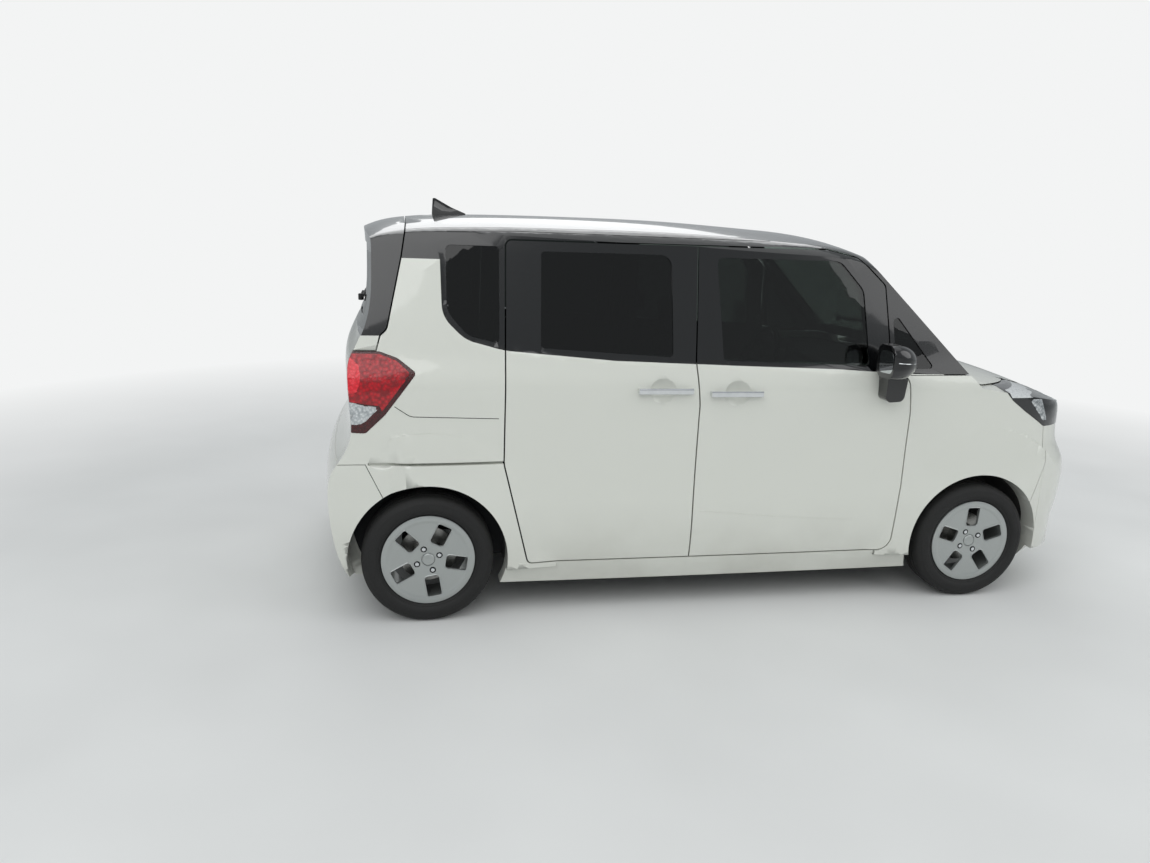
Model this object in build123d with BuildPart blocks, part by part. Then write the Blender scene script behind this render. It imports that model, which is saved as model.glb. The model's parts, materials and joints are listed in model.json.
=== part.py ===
"""City car with a sliding door on its right side, in millimetres.

X points to the nose, Y to the left side and Z up. The origin is on the ground below the middle of the body.
Unless a comment says otherwise, places along the car are measured ahead of the middle of the wheelbase.
"""

import os
from math import cos, radians, sin

from build123d import *

os.makedirs("parts", exist_ok=True)

# Overall sizes
LENGTH = 3595.0
WIDTH = 1595.0
WHEELBASE = 2520.0
FRONT_OVERHANG = 635.0
TRACK = 1400.0
GROUND_CLEARANCE = 150.0

# Tyres and rims
TYRE_RADIUS = 276.8
TYRE_WIDTH = 165.0
TREAD_WIDTH = 121.0
TREAD_CROWN = 3.0
SHOULDER_RADIUS = 263.0
SHOULDER_INSET = 9.0
SIDEWALL_RADIUS = 232.0
BEAD_RADIUS = 178.0
RIM_WIDTH = 127.0
RIM_LIP_RADIUS = 194.0
RIM_LIP_THICKNESS = 8.0
RIM_BARREL = 7.0
RIM_FACE_INNER = 50.0
RIM_FACE_OUTER = 63.0
RIM_FACE_DISH = 6.0
RIM_HUB_RADIUS = 65.0
RIM_HUB_RECESS = 30.0
DISC_RADIUS = 120.0
DISC_SPAN = (-22.0, -8.0)
WINDOW_INNER_RADIUS = 72.0
WINDOW_OUTER_RADIUS = 165.0
WINDOW_WIDTH = 64.0
WINDOW_CORNER = 12.0
WINDOW_COUNT = 5
WINDOW_START = {"front": 90.0, "rear": -8.0}
BOLT_CIRCLE = 100.0
BOLT_COUNT = 4
BOLT_START = 30.0
BOLT_POCKET_RADIUS = 12.0
BOLT_POCKET_DEPTH = 12.0
SPINDLE_RADIUS = 27.0
SPINDLE_CLEARANCE = 0.4
SPINDLE_END_Y = 735.0

# Wheel arches, their bulges and the wheel houses behind them
ARCH_RADIUS = 331.0
FLARE_RADIUS = 545.0
FLARE_DEPTH = 26.0
FLARE_ROOT = 60.0
FLARE_BOTTOM = 230.0
FLARE_END_SETBACK = 40.0
FLARE_CORNER_RADIUS = 400.0
FRONT_HOUSE_Y = 455.0
REAR_HOUSE_Y = 590.0
HOUSE_WALL = 10.0

# Gaps, steps and walls
SHUT_GAP = 6.0
DOOR_STEP = 12.0
STEP_SHARE = 0.3
LAMP_GAP = 3.0
SEAT = 0.3
BLACK_STEP = 3.0
GLASS_STEP = 8.0
GLASS_THICKNESS = 5.0
ROOF_WALL = 35.0
SCREEN_WALL = 45.0
ROOT = 5.0

# Limits of the panels
SIDE_NEAR = 300.0
BONNET_REAR_X = 1290.0
BONNET_REAR_SIDE_X = 1150.0
ROOF_REAR_X = -1342.0
ROOF_FRONT_X = 800.0
ROOF_GAP = 4.0
HEADER_BOTTOM = 1576.0
FENDER_INNER_Y = 620.0
SIDE_FRAME_INNER_Y = 560.0
TAILGATE_HALF_WIDTH = 712.0
TAILGATE_BOTTOM = 697.0
TAILGATE_LOW_FRONT = -1400.0
TAILGATE_LOW_TOP = 1180.0
HEADLAMP_INNER = 430.0
COWL_ROOM = ((960.0, 1310.0), 740.0, (1045.0, 1300.0))
BONNET_ROOM = (700.0, 1500.0)
SCREEN_ROOM_UP = (900.0, 1900.0)
ROOM_ABOVE = 1800.0
AIR_TOP = 2200.0
TAIL_FAR = -2100.0
HEADLAMP_ROOM = (500.0, 1500.0)
SCREEN_ROOM = (300.0, 1400.0)
REAR_GLASS_FRONT = -1300.0

# Door handles. Columns: centre of the cup, rear end, front end, and height.
FRONT_HANDLE = (40, -85, 145, 992)
SLIDE_HANDLE = (-290, -400, -165, 1004)
REAR_HANDLE = (-640, -760, -525, 1010)
CUP_SKIN_Y = 789.0
CUP_RADIUS = 78.0
CUP_DEPTH = 26.0
HANDLE_STAND = 30.0
HANDLE_HEIGHT = 26.0
HANDLE_FOOT = 26.0
HANDLE_FOOT_STEP = 8.0
HANDLE_ROOT = 10.0

# Pillar between the left doors
PILLAR_REAR = -190.0
PILLAR_FRONT = -60.0
PILLAR_INNER_Y = 600.0
PILLAR_HEAD_Y = 640.0
PILLAR_HEAD_LOW = 1560.0
PILLAR_HEAD_HIGH = 1625.0

# Fuel filler
FUEL_POCKET_DEPTH = 40.0
FUEL_LID_THICKNESS = 8.0
FUEL_CAP = (-1270.0, 872.0)
FUEL_CAP_RADIUS = 32.0
FUEL_CAP_Y = 748.0
FUEL_CAP_DEPTH = 45.0

# Number plates: both flats take two screws. X and Z are from the origin.
PLATE_WIDTH = 335.0
PLATE_MARGIN = 20.0
PLATE_LOW = 850.0
PLATE_HIGH = 1020.0
PLATE_REAR_X = -1690.0
PLATE_BOLT_Z = 935.0
PLATE_BOLT_SPACING = 210.0
PLATE_BOLT_RADIUS = 3.25
PLATE_BOLT_DEPTH = 20.0
PLATE_FRONT_X = 1768.0
FRONT_FLAT_Y = 275.0
FRONT_FLAT_LOW = 560.0
FRONT_FLAT_HIGH = 690.0
FRONT_BOLT_Z = 625.0

# Towing sockets in the bumpers, from the origin
TOW_FACE_RADIUS = 22.0
TOW_RADIUS = 8.0
TOW_DEPTH = 40.0
TOW_FRONT = (1742.0, -530.0, 545.0)
TOW_REAR = (-1765.0, -480.0, 480.0)

# Grille bars and antenna fin
GRILLE_BARS = (352.0, 402.0)
GRILLE_BAR_Y = 440.0
GRILLE_BAR_THICKNESS = 14.0
GRILLE_BAR_DEPTH = 18.0
GRILLE_BAR_BACK = 50.0
GRILLE_REAR_X = 1500.0
FIN_WIDTH = 32.0

# Floor and bulkhead
FLOOR_BOTTOM = 228.0
FLOOR_TOP = 250.0
BOOT_FLOOR = 490.0
BOOT_SHEET = 22.0
KICK_UP = -880.0
BULKHEAD = 870.0
BULKHEAD_SHEET = 20.0
BULKHEAD_TOP = 985.0
SEAT_RISER = (-60.0, 380.0)
SEAT_RISER_WIDTH = 400.0
SEAT_RISER_TOP = 380.0
BENCH_RISER_FRONT = -450.0
BENCH_RISER_Y = 540.0
BENCH_RISER_TOP = 430.0
ARM_NOTCH = ((-1410.0, -1000.0), (500.0, 600.0), 345.0)
WISHBONE_NOTCH = ((1150.0, 1370.0), 345.0)

# Front legs, the frame of the radiator and the engine
LEG_Y = 400.0
LEG_WIDTH = 45.0
LEG_LOW = 430.0
LEG_HIGH = 520.0
LEG_END = 1690.0
BEAM_SHEET = 30.0
BEAM_TOP = (820.0, 850.0)
BEAM_BOTTOM = (250.0, 280.0)
RADIATOR_FRONT = 1655.0
RADIATOR_THICKNESS = 34.0
RADIATOR_SPAN = (300.0, 800.0)
RADIATOR_BUSH_Y = 250.0
RADIATOR_BUSH_RADIUS = 12.0
ENGINE_ROOM = ((1130.0, 1560.0), 300.0, 780.0)
ENGINE_CORNER = 40.0

# Front suspension. The steering axis is given by y and z at its foot and at its head.
STEER_FOOT = (644.0, 160.0)
STEER_HEAD = (545.0, 790.0)
STRUT_TOWER_Y = 560.0
TOWER_RADIUS = 85.0
TOWER_WALL = 7.0
TOWER_TOP = 800.0
TOWER_SINK = 12.0
TOWER_FOOT = 300.0
STRUT_RADIUS = 20.0
STRUT_ROD_RADIUS = 11.0
STRUT_LOW = 330.0
STRUT_HIGH = 560.0
STRUT_BORE_DEPTH = 80.0
STRUT_ROD_LOW = 500.0
SPRING_RADIUS = 55.0
SPRING_LOW = 585.0
SPRING_HIGH = 770.0
JOINT_PIN_RADIUS = 9.0
JOINT_CLEARANCE = 0.5
JOINT_EYE_RADIUS = 26.0
CARRIER_Y = 590.0
CARRIER_FACE_Y = 628.0
CARRIER_RADIUS = 45.0
CARRIER_HALF_THICKNESS = 20.0
KNUCKLE_GAP = 8.0
KNUCKLE_INNER_Y = 596.0
KNUCKLE_REACH = 16.0
KNUCKLE_FOOT = 34.0
STRUT_CLAMP = 40.0
PIN_TOP = 20.0
ARM_LOW = 165.0
ARM_HIGH = 187.0
ARM_PIVOTS = (1130.0, 1390.0)
ARM_ROOT_Y = 360.0
ARM_PIVOT_Y = 400.0
ARM_NECK_Y = 520.0
SUBFRAME = ((1110.0, 1400.0), 380.0)
SUBFRAME_HIGH = 230.0

# Rear axle: beam, trailing arms, springs and dampers
BEAM_X = -1060.0
BEAM_HALF_DEPTH = 45.0
BEAM_HALF_WIDTH = 560.0
BEAM_SPAN = (258.0, 308.0)
REAR_ARM = ((-1300.0, -950.0), (520.0, 572.0), (255.0, 300.0))
REAR_ARM_FOOT = ((-1360.0, -1290.0), (262.0, 292.0))
REAR_PIVOT = (-955.0, 277.0)
REAR_PIVOT_RADIUS = 30.0
REAR_CARRIER_Y = 530.0
REAR_SPRING = (-1110.0, 470.0, 300.0)
REAR_SPRING_RADIUS = 48.0
REAR_DAMPER = (-1345.0, 545.0, 262.0)
REAR_DAMPER_RADIUS = 22.0

# Fuel tank and exhaust
TANK_ROOM = ((-820.0, -250.0), (-420.0, 60.0), 162.0)
TANK_CORNER = 50.0
TANK_EDGE = 18.0
PIPE_RADIUS = 22.0
PIPE_BEND = 60.0
# Where the pipe bends: twice behind the engine, then twice ahead of the rear beam
PIPE_STEPS = (90.0, 170.0, 135.0, 60.0)
TAIL_PIPE_LENGTH = 92.0
TAIL_PIPE_LEAN = 0.25
TAIL_PIPE = (-1490.0, 380.0, 325.0)
SILENCER = ((-1560.0, -1325.0), (60.0, 430.0), (315.0, 455.0))
SILENCER_STRAP = ((-1480.0, -1440.0), (240.0, 260.0))
HANGERS = (600.0, -300.0)
HANGER_RADIUS = 5.0
EXHAUST_Y = 200.0
EXHAUST_LOW = 195.0
EXHAUST_HIGH = 365.0
MANIFOLD_HEIGHT = 330.0

# Dashboard and steering wheel
DASH_REAR = 660.0
DASH_FRONT = 1120.0
DASH_BOTTOM = 700.0
DASH_TOP = 1030.0
DASH_PAD = 40.0
DASH_HALF_WIDTH = 690.0
CONSOLE_DEPTH = 160.0
CONSOLE_HALF_WIDTH = 110.0
STEERING_CENTRE = (580.0, 350.0, 960.0)
STEERING_TILT = 26.0
STEERING_RADIUS = 180.0
STEERING_RIM = 14.0
COLUMN_SHROUD = (110.0, 90.0, 25.0)
COLUMN_SHROUD_BACK = 130.0
SHROUD_GAP = 40.0
COLUMN_RADIUS = 22.0
COLUMN_BACK = 140.0
COLUMN_GAP = 30.0
HUB_RADIUS = 62.0
HUB_HEIGHT = 40.0
HUB_DROP = 8.0
SPOKE_ROOT = 40.0
SPOKE_WIDTH = 34.0
SPOKE_THICKNESS = 16.0

# Seats
FRONT_SEAT_Y = 350.0
FRONT_SEAT_WIDTH = 480.0
BENCH_WIDTH = 1120.0
BENCH_REST_Y = 290.0
HEADREST_WIDTH = 250.0
POST_RADIUS = 7.0
POST_SPREAD = 60.0
FRONT_POST = (-150.0, 1180.0, 1225.0)
REAR_POST = (-912.0, 1110.0, 1150.0)

# Door mirrors. Columns: place along the car, middle across and up, width, height, corner radius.
MIRROR_SECTIONS = (
    (650, -885, 1148, 140, 140, 40),
    (720, -884, 1146, 148, 138, 50),
    (775, -875, 1142, 90, 90, 40),
)
MIRROR_FOOT_Y = (740.0, 855.0)

# Groove that the sliding door's rear roller runs in
RAIL_SLOT_Y = 752.0

# Curves of the plan view
NOSE_BOW = 80.0
TAIL_BOW = 40.0

front_axle_x = LENGTH / 2 - FRONT_OVERHANG
rear_axle_x = front_axle_x - WHEELBASE
mid_x = (front_axle_x + rear_axle_x) / 2
wheel_y = TRACK / 2
half_width = WIDTH / 2
half_length = LENGTH / 2
BLOCK_BOTTOM = GROUND_CLEARANCE - 1

# Plan sections of the body. Columns: height, setback of the nose, setback of the tail, inset of the side,
# bow of the side, radius of the nose corner, radius of the tail corner, wall.
SECTIONS = (
    (GROUND_CLEARANCE, 165, 110, 55, 20, 280, 130, 75),
    (195, 122, 82, 39, 20, 290, 135, 75),
    (240, 85, 58, 26, 20, 300, 140, 75),
    (400, 20, 14, 10, 20, 330, 150, 75),
    (560, 0, 0, 14, 20, 330, 150, 75),
    (650, 14, 12, 15, 20, 330, 150, 75),
    (720, 58, 55, 15, 22, 320, 150, 75),
    (820, 84, 97, 13, 24, 310, 150, 75),
    (920, 104, 96, 10, 27, 300, 150, 75),
    (1020, 195, 92, 8, 30, 280, 150, 75),
    (1120, 310, 98, 27, 38, 260, 140, 60),
    (1215, 400, 140, 41, 42, 240, 130, 45),
    (1300, 470, 167, 54, 44, 220, 120, 45),
    (1500, 620, 180, 89, 46, 200, 120, 45),
    (1640, 720, 170, 116, 48, 200, 120, 45),
    (1730, 760, 170, 134, 48, 200, 120, 45),
)

# Crown of the roof. Columns: distance ahead of mid-wheelbase, height on the centre line.
ROOF_STATIONS = (
    (-1640, 1570),
    (-1540, 1612),
    (-1460, 1645),
    (-1350, 1667),
    (-1100, 1684),
    (-600, 1690),
    (-100, 1684),
    (300, 1664),
    (600, 1628),
    (900, 1560),
)
ROOF_HALF_WIDTH = 600.0
ROOF_DROP = 42.0
RAIL_REACH = 105.0
RAIL_DROP = 68.0

# Top of the bonnet. Columns: distance ahead of mid-wheelbase, height on the centre line and at the side.
BONNET_STATIONS = (
    (560, 1250, 1180),
    (900, 1172, 1095),
    (1210, 1108, 1012),
    (1435, 1050, 975),
    (1600, 1004, 940),
    (1720, 962, 898),
    (1900, 870, 800),
)
BONNET_HALF_WIDTH = 760.0

# Windscreen surface, a leaning arc
SCREEN_BASE = (1215.0, 1115.0)
SCREEN_TOP = (680.0, 1605.0)
SCREEN_SAG = 100.0
SCREEN_SAG_WIDTH = 700.0

# Outlines in the side view, or in the front view for the screens and grilles.
# Columns: place, height, corner radius.
PAINT_ZONE = (
    (2100, 0, 0),
    (2100, 1400, 0),
    (1152, 1400, 0),
    (1152, 1069, 0),
    (820, 1074, 0),
    (500, 1094, 900),
    (0, 1108, 900),
    (-500, 1124, 900),
    (-955, 1160, 500),
    (-1110, 1200, 150),
    (-1203, 1290, 120),
    (-1210, 1513, 0),
    (-1362, 1513, 0),
    (-1420, 1235, 40),
    (-1448, 1211, 20),
    (-2100, 1205, 0),
    (-2100, 0, 0),
)
FRONT_DOOR = (
    (-124, 253, 0),
    (836, 253, 70),
    (861, 560, 300),
    (861, 900, 250),
    (842, 1040, 60),
    (806, 1086, 20),
    (754, 1092, 12),
    (716, 1452, 30),
    (590, 1566, 60),
    (450, 1597, 120),
    (-147, 1597, 0),
    (-147, 1120, 60),
    (-124, 940, 300),
)
SLIDE_DOOR = (
    (-124, 253, 0),
    (-124, 940, 300),
    (-147, 1120, 60),
    (-147, 1597, 0),
    (-950, 1597, 25),
    (-950, 690, 120),
    (-842, 253, 25),
)
REAR_DOOR = (
    (-124, 253, 0),
    (-124, 940, 300),
    (-147, 1120, 60),
    (-147, 1597, 0),
    (-930, 1597, 40),
    (-930, 740, 160),
    (-812, 253, 30),
)
FRONT_DOOR_GLASS = (
    (-26, 1128, 20),
    (-64, 1550, 25),
    (500, 1550, 70),
    (612, 1430, 70),
    (648, 1108, 20),
)
SLIDE_DOOR_GLASS = (
    (-806, 1172, 15),
    (-806, 1555, 15),
    (-262, 1555, 50),
    (-248, 1140, 15),
)
FRONT_QUARTER_GLASS = (
    (776, 1096, 15),
    (752, 1352, 18),
    (968, 1096, 12),
)
REAR_QUARTER_GLASS = (
    (-975, 1188, 15),
    (-975, 1570, 20),
    (-1188, 1570, 20),
    (-1184, 1310, 90),
    (-1100, 1216, 90),
)
BONNET = (
    (1120, 1400, 0),
    (1120, 1087, 0),
    (1150, 1085, 5),
    (1212, 1016, 60),
    (1500, 1001, 300),
    (1650, 968, 300),
    (1760, 918, 60),
    (2100, 850, 0),
    (2100, 1400, 0),
)
HEADLAMP = (
    (1328, 1060, 0),
    (1328, 1000, 0),
    (1375, 952, 60),
    (1450, 900, 200),
    (1564, 829, 10),
    (2100, 815, 0),
    (2100, 1060, 0),
)
FRONT_BUMPER = (
    (1566, 1200, 0),
    (1566, 829, 0),
    (1592, 655, 60),
    (1500, 380, 0),
    (1500, BLOCK_BOTTOM, 0),
    (2100, BLOCK_BOTTOM, 0),
    (2100, 1200, 0),
)
FENDER = (
    (772, 228, 0),
    (2100, 228, 0),
    (2100, 1066, 0),
    (772, 1066, 0),
)
SIDE_FRAME = (
    (1010, BLOCK_BOTTOM, 0),
    (1010, 1072, 0),
    (1152, 1072, 0),
    (1152, 1800, 0),
    (-1900, 1800, 0),
    (-1900, BLOCK_BOTTOM, 0),
)
TAIL_LAMP = (
    (-1800, 1149, 0),
    (-1448, 1149, 30),
    (-1378, 1124, 60),
    (-1306, 1068, 14),
    (-1430, 900, 60),
    (-1506, 826, 16),
    (-1536, 826, 10),
    (-1800, 850, 0),
)
TAILGATE_SIDE = (
    (-1342, 1800, 0),
    (-1342, 1640, 0),
    (-1362, 1513, 60),
    (-1420, 1235, 40),
    (-1446, 1212, 10),
    (-1462, 1152, 0),
    (-2100, 1152, 0),
    (-2100, 1800, 0),
)
REAR_BUMPER = (
    (-1510, 694, 0),
    (-1436, 540, 0),
    (-1436, BLOCK_BOTTOM, 0),
    (-2100, BLOCK_BOTTOM, 0),
    (-2100, 694, 0),
)
REAR_GLASS = (
    (-575, 1262, 60),
    (575, 1262, 60),
    (520, 1560, 50),
    (-520, 1560, 50),
)
WINDSCREEN = (
    (-660, 1130, 50),
    (660, 1130, 50),
    (560, 1584, 60),
    (-560, 1584, 60),
)
ANTENNA_FIN = (
    (-1064, 1672, 0),
    (-1064, 1686, 0),
    (-1130, 1712, 60),
    (-1203, 1751, 0),
    (-1214, 1751, 4),
    (-1218, 1672, 0),
)
LOWER_GRILLE = (
    (-430, 300, 40),
    (430, 300, 40),
    (400, 450, 30),
    (-400, 450, 30),
)
UPPER_GRILLE = (
    (-380, 800, 15),
    (380, 800, 15),
    (395, 850, 15),
    (-395, 850, 15),
)
FUEL_LID = (
    (-1345, 800, 20),
    (-1195, 800, 20),
    (-1195, 945, 20),
    (-1345, 945, 20),
)
RAIL_SLOT = (
    (-950, 704, 0),
    (-950, 692, 0),
    (-1500, 690, 4),
    (-1500, 702, 4),
)
FRONT_SEAT = (
    (-90, SEAT_RISER_TOP + SEAT, 20),
    (400, SEAT_RISER_TOP + SEAT, 20),
    (415, 560, 30),
    (385, 600, 30),
    (70, 580, 40),
    (-60, 1190, 40),
    (-190, 1190, 30),
    (-120, 540, 60),
)
FRONT_HEADREST = (
    (-95, 1215, 20),
    (-110, 1345, 30),
    (-195, 1345, 30),
    (-185, 1215, 20),
)
REAR_BENCH = (
    (-870, BENCH_RISER_TOP + SEAT, 0),
    (-430, BENCH_RISER_TOP + SEAT, 20),
    (-418, 560, 30),
    (-450, 595, 30),
    (-745, 570, 40),
    (-835, 1120, 30),
    (-950, 1120, 30),
    (-875, 560, 60),
)
REAR_HEADREST = (
    (-862, 1140, 15),
    (-880, 1260, 30),
    (-955, 1260, 30),
    (-945, 1140, 15),
)
FLOOR_PROFILE = (
    (BULKHEAD + BULKHEAD_SHEET, FLOOR_BOTTOM, 0),
    (BULKHEAD + BULKHEAD_SHEET, FLOOR_TOP, 0),
    (KICK_UP, FLOOR_TOP, 0),
    (KICK_UP, BOOT_FLOOR, 0),
    (-1800, BOOT_FLOOR, 0),
    (-1800, BOOT_FLOOR - BOOT_SHEET, 0),
    (KICK_UP - BOOT_SHEET, BOOT_FLOOR - BOOT_SHEET, 0),
    (KICK_UP - BOOT_SHEET, FLOOR_BOTTOM, 0),
)
DASH_PROFILE = (
    (DASH_REAR + 40, DASH_BOTTOM, 20),
    (BULKHEAD - SEAT, DASH_BOTTOM, 0),
    (BULKHEAD - SEAT, DASH_TOP - DASH_PAD, 0),
    (DASH_FRONT, DASH_TOP - DASH_PAD, 0),
    (DASH_FRONT, DASH_TOP, 0),
    (DASH_REAR + 30, DASH_TOP, 30),
    (DASH_REAR, DASH_TOP - 60, 30),
)
MIRROR_FOOT = (
    (690, 985, 20),
    (700, 962, 25),
    (775, 968, 25),
    (785, 1060, 12),
    (765, 1110, 20),
    (690, 1110, 20),
)

# Reach of the blocks that cut the body
REACH = 1000.0


def draw_outline(outline, shift, grow):
    """Draws a closed outline from its points and corner radii in the open sketch."""
    points = [(shift + across, up) for across, up, _ in outline]
    with BuildSketch(Plane.XY) as face:
        with BuildLine():
            Polyline(*points, close=True)
        make_face()
        for point, (_, _, radius) in zip(points, outline):
            if radius:
                corner = face.vertices().sort_by_distance((point[0], point[1], 0))[0]
                fillet(corner, radius)
        if grow:
            offset(amount=grow, kind=Kind.INTERSECTION)
    return face.sketch


def side_block(outline, grow=0, near=0, far=REACH, side=-1, shift=mid_x):
    """A block with the outline as its side view, from near to far off the centre plane on one side."""
    drawn = draw_outline(outline, shift, grow)
    start = near if side < 0 else -far
    with BuildPart() as block:
        with BuildSketch(Plane.XZ.offset(start)):
            add(drawn)
        extrude(amount=far - near)
    return block.part


def through_block(outline, grow=0, shift=mid_x):
    """A block with the outline as its side view, right through the body."""
    return side_block(outline, grow, -REACH, REACH, -1, shift)


def end_block(outline, grow, x_from, x_to):
    """A block with the outline as its front view, between two stations."""
    drawn = draw_outline(outline, 0, grow)
    with BuildPart() as block:
        with BuildSketch(Plane.YZ.offset(x_from)):
            add(drawn)
        extrude(amount=x_to - x_from)
    return block.part


def box_between(low, high):
    """A plain block between two corners."""
    size = [b - a for a, b in zip(low, high)]
    middle = [(a + b) / 2 for a, b in zip(low, high)]
    with BuildPart() as block:
        with Locations(tuple(middle)):
            Box(*size)
    return block.part


def block(ahead, across, up):
    """A plain block from its reach ahead of mid-wheelbase, across the car and up."""
    return box_between((mid_x + ahead[0], across[0], up[0]), (mid_x + ahead[1], across[1], up[1]))


def rod_up(x, y, radius, z_from, z_to):
    """An upright round bar."""
    with BuildPart() as rod:
        with BuildSketch(Plane.XY.offset(z_from)):
            with Locations((x, y)):
                Circle(radius)
        extrude(amount=z_to - z_from)
    return rod.part


def plan_loft(inset, depth):
    """The body's sides and ends: a loft through the plan sections, set in by inset and a share of wall."""
    with BuildPart() as form:
        for height, nose_set, tail_set, side_set, bow, nose_radius, tail_radius, wall in SECTIONS:
            inward = inset + depth * wall
            nose = half_length - nose_set - inward
            tail = half_length - tail_set - inward
            across = half_width - side_set - inward
            end = across - bow
            with BuildSketch(Plane.XY.offset(height)) as plan:
                with BuildLine():
                    ThreePointArc((nose - NOSE_BOW, -end), (nose, 0), (nose - NOSE_BOW, end))
                    ThreePointArc((nose - NOSE_BOW, end), (0, across), (TAIL_BOW - tail, end))
                    ThreePointArc((TAIL_BOW - tail, end), (-tail, 0), (TAIL_BOW - tail, -end))
                    ThreePointArc((TAIL_BOW - tail, -end), (0, -across), (nose - NOSE_BOW, -end))
                make_face()
                nose_corners = plan.vertices().filter_by_position(Axis.X, 0, LENGTH)
                fillet(nose_corners, nose_radius - inward)
                tail_corners = plan.vertices().filter_by_position(Axis.X, -LENGTH, TAIL_BOW / 2 - tail)
                fillet(tail_corners, tail_radius - inward)
        loft()
    return form.part


def roof_air(drop):
    """Everything above the roof's skin, lowered by drop."""
    rail_y = ROOF_HALF_WIDTH + RAIL_REACH
    with BuildPart() as air:
        for ahead, crown in ROOF_STATIONS:
            height = crown - drop
            edge = height - ROOF_DROP
            rail = edge - RAIL_DROP
            slope = 2 * ROOF_DROP / ROOF_HALF_WIDTH
            with BuildSketch(Plane.YZ.offset(mid_x + ahead)):
                with BuildLine():
                    ThreePointArc((-ROOF_HALF_WIDTH, edge), (0, height), (ROOF_HALF_WIDTH, edge))
                    TangentArc((ROOF_HALF_WIDTH, edge), (rail_y, rail), tangent=(1, -slope))
                    Polyline((rail_y, rail), (REACH, rail), (REACH, AIR_TOP))
                    Polyline((REACH, AIR_TOP), (-REACH, AIR_TOP), (-REACH, rail), (-rail_y, rail))
                    TangentArc((-ROOF_HALF_WIDTH, edge), (-rail_y, rail), tangent=(-1, -slope))
                make_face()
        loft()
    return air.part


def bonnet_air(drop):
    """Everything above the bonnet's skin, lowered by drop."""
    with BuildPart() as air:
        for ahead, crown, side_height in BONNET_STATIONS:
            height = crown - drop
            edge = height - (crown - side_height) * (REACH / BONNET_HALF_WIDTH) ** 2
            with BuildSketch(Plane.YZ.offset(mid_x + ahead)):
                with BuildLine():
                    ThreePointArc((-REACH, edge), (0, height), (REACH, edge))
                    Polyline((REACH, edge), (REACH, AIR_TOP), (-REACH, AIR_TOP), (-REACH, edge))
                make_face()
        loft()
    return air.part


def screen_block(inset):
    """Everything behind the windscreen's surface, set back by inset."""
    base_x, base_z = SCREEN_BASE
    run = SCREEN_TOP[0] - base_x
    rise = SCREEN_TOP[1] - base_z
    radius = (SCREEN_SAG_WIDTH**2 + SCREEN_SAG**2) / (2 * SCREEN_SAG)
    sag = radius - (radius**2 - REACH**2) ** 0.5
    length = (run**2 + rise**2) ** 0.5
    low, high = SCREEN_ROOM_UP
    centre = mid_x + base_x + (low - base_z) * run / rise - inset * length / rise
    with BuildPart() as block:
        with BuildSketch(Plane.XY.offset(low)):
            with BuildLine():
                ThreePointArc((centre - sag, -REACH), (centre, 0), (centre - sag, REACH))
                Polyline((centre - sag, REACH), (-LENGTH, REACH), (-LENGTH, -REACH), (centre - sag, -REACH))
            make_face()
        extrude(amount=(high - low) * length / rise, dir=(run / length, 0, rise / length))
    return block.part


def body_form(inset, depth):
    """The whole closed body, set in by inset and by a share of its wall."""
    screen = screen_block(inset + depth * SCREEN_WALL)
    with BuildPart() as front_air:
        add(bonnet_air(inset + depth * ROOF_WALL))
        add(screen, mode=Mode.SUBTRACT)
    above = roof_air(inset + depth * ROOF_WALL)
    sides = plan_loft(inset, depth)
    with BuildPart() as form:
        add(sides)
        add(above, mode=Mode.SUBTRACT)
        add(front_air.part, mode=Mode.SUBTRACT)
    return form.part


def rod_across(x, z, radius, y_from, y_to):
    """A round bar along Y."""
    with BuildPart() as rod:
        with BuildSketch(Plane.XZ.offset(-y_from)):
            with Locations((x, z)):
                Circle(radius)
        extrude(amount=y_from - y_to)
    return rod.part


def flare(axle_x, side):
    """The soft bulge round one wheel arch, fading before the corner of the nose or the tail."""
    slope = FLARE_DEPTH / (FLARE_RADIUS - ARCH_RADIUS)
    root = FLARE_RADIUS - ARCH_RADIUS + FLARE_ROOT
    with BuildPart() as limit:
        with BuildSketch(Plane.XY.offset(FLARE_BOTTOM)) as plan:
            Rectangle(LENGTH - 2 * FLARE_END_SETBACK, WIDTH)
            fillet(plan.vertices(), FLARE_CORNER_RADIUS)
        extrude(amount=REACH)
    with BuildPart() as bulge:
        with BuildSketch(Plane.XY):
            with BuildLine():
                Polyline(
                    (axle_x, side * (half_width - root)),
                    (axle_x, side * (half_width + slope * ARCH_RADIUS)),
                    (axle_x + FLARE_RADIUS, side * (half_width - FLARE_DEPTH)),
                    (axle_x + FLARE_RADIUS, side * (half_width - root)),
                    close=True,
                )
            make_face()
        revolve(axis=Axis((axle_x, 0, 0), (0, 1, 0)))
    with BuildPart() as raised:
        add(bulge.part.moved(Location((0, 0, TYRE_RADIUS))))
        add(limit.part, mode=Mode.INTERSECT)
    return raised.part


def arch_holes():
    """The four wheel arches and the room behind them."""
    with BuildPart() as holes:
        for axle_x, inner in ((front_axle_x, FRONT_HOUSE_Y), (rear_axle_x, REAR_HOUSE_Y)):
            for side in (-1, 1):
                add(rod_across(axle_x, TYRE_RADIUS, ARCH_RADIUS, side * inner, side * REACH))
    return holes.part


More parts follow.
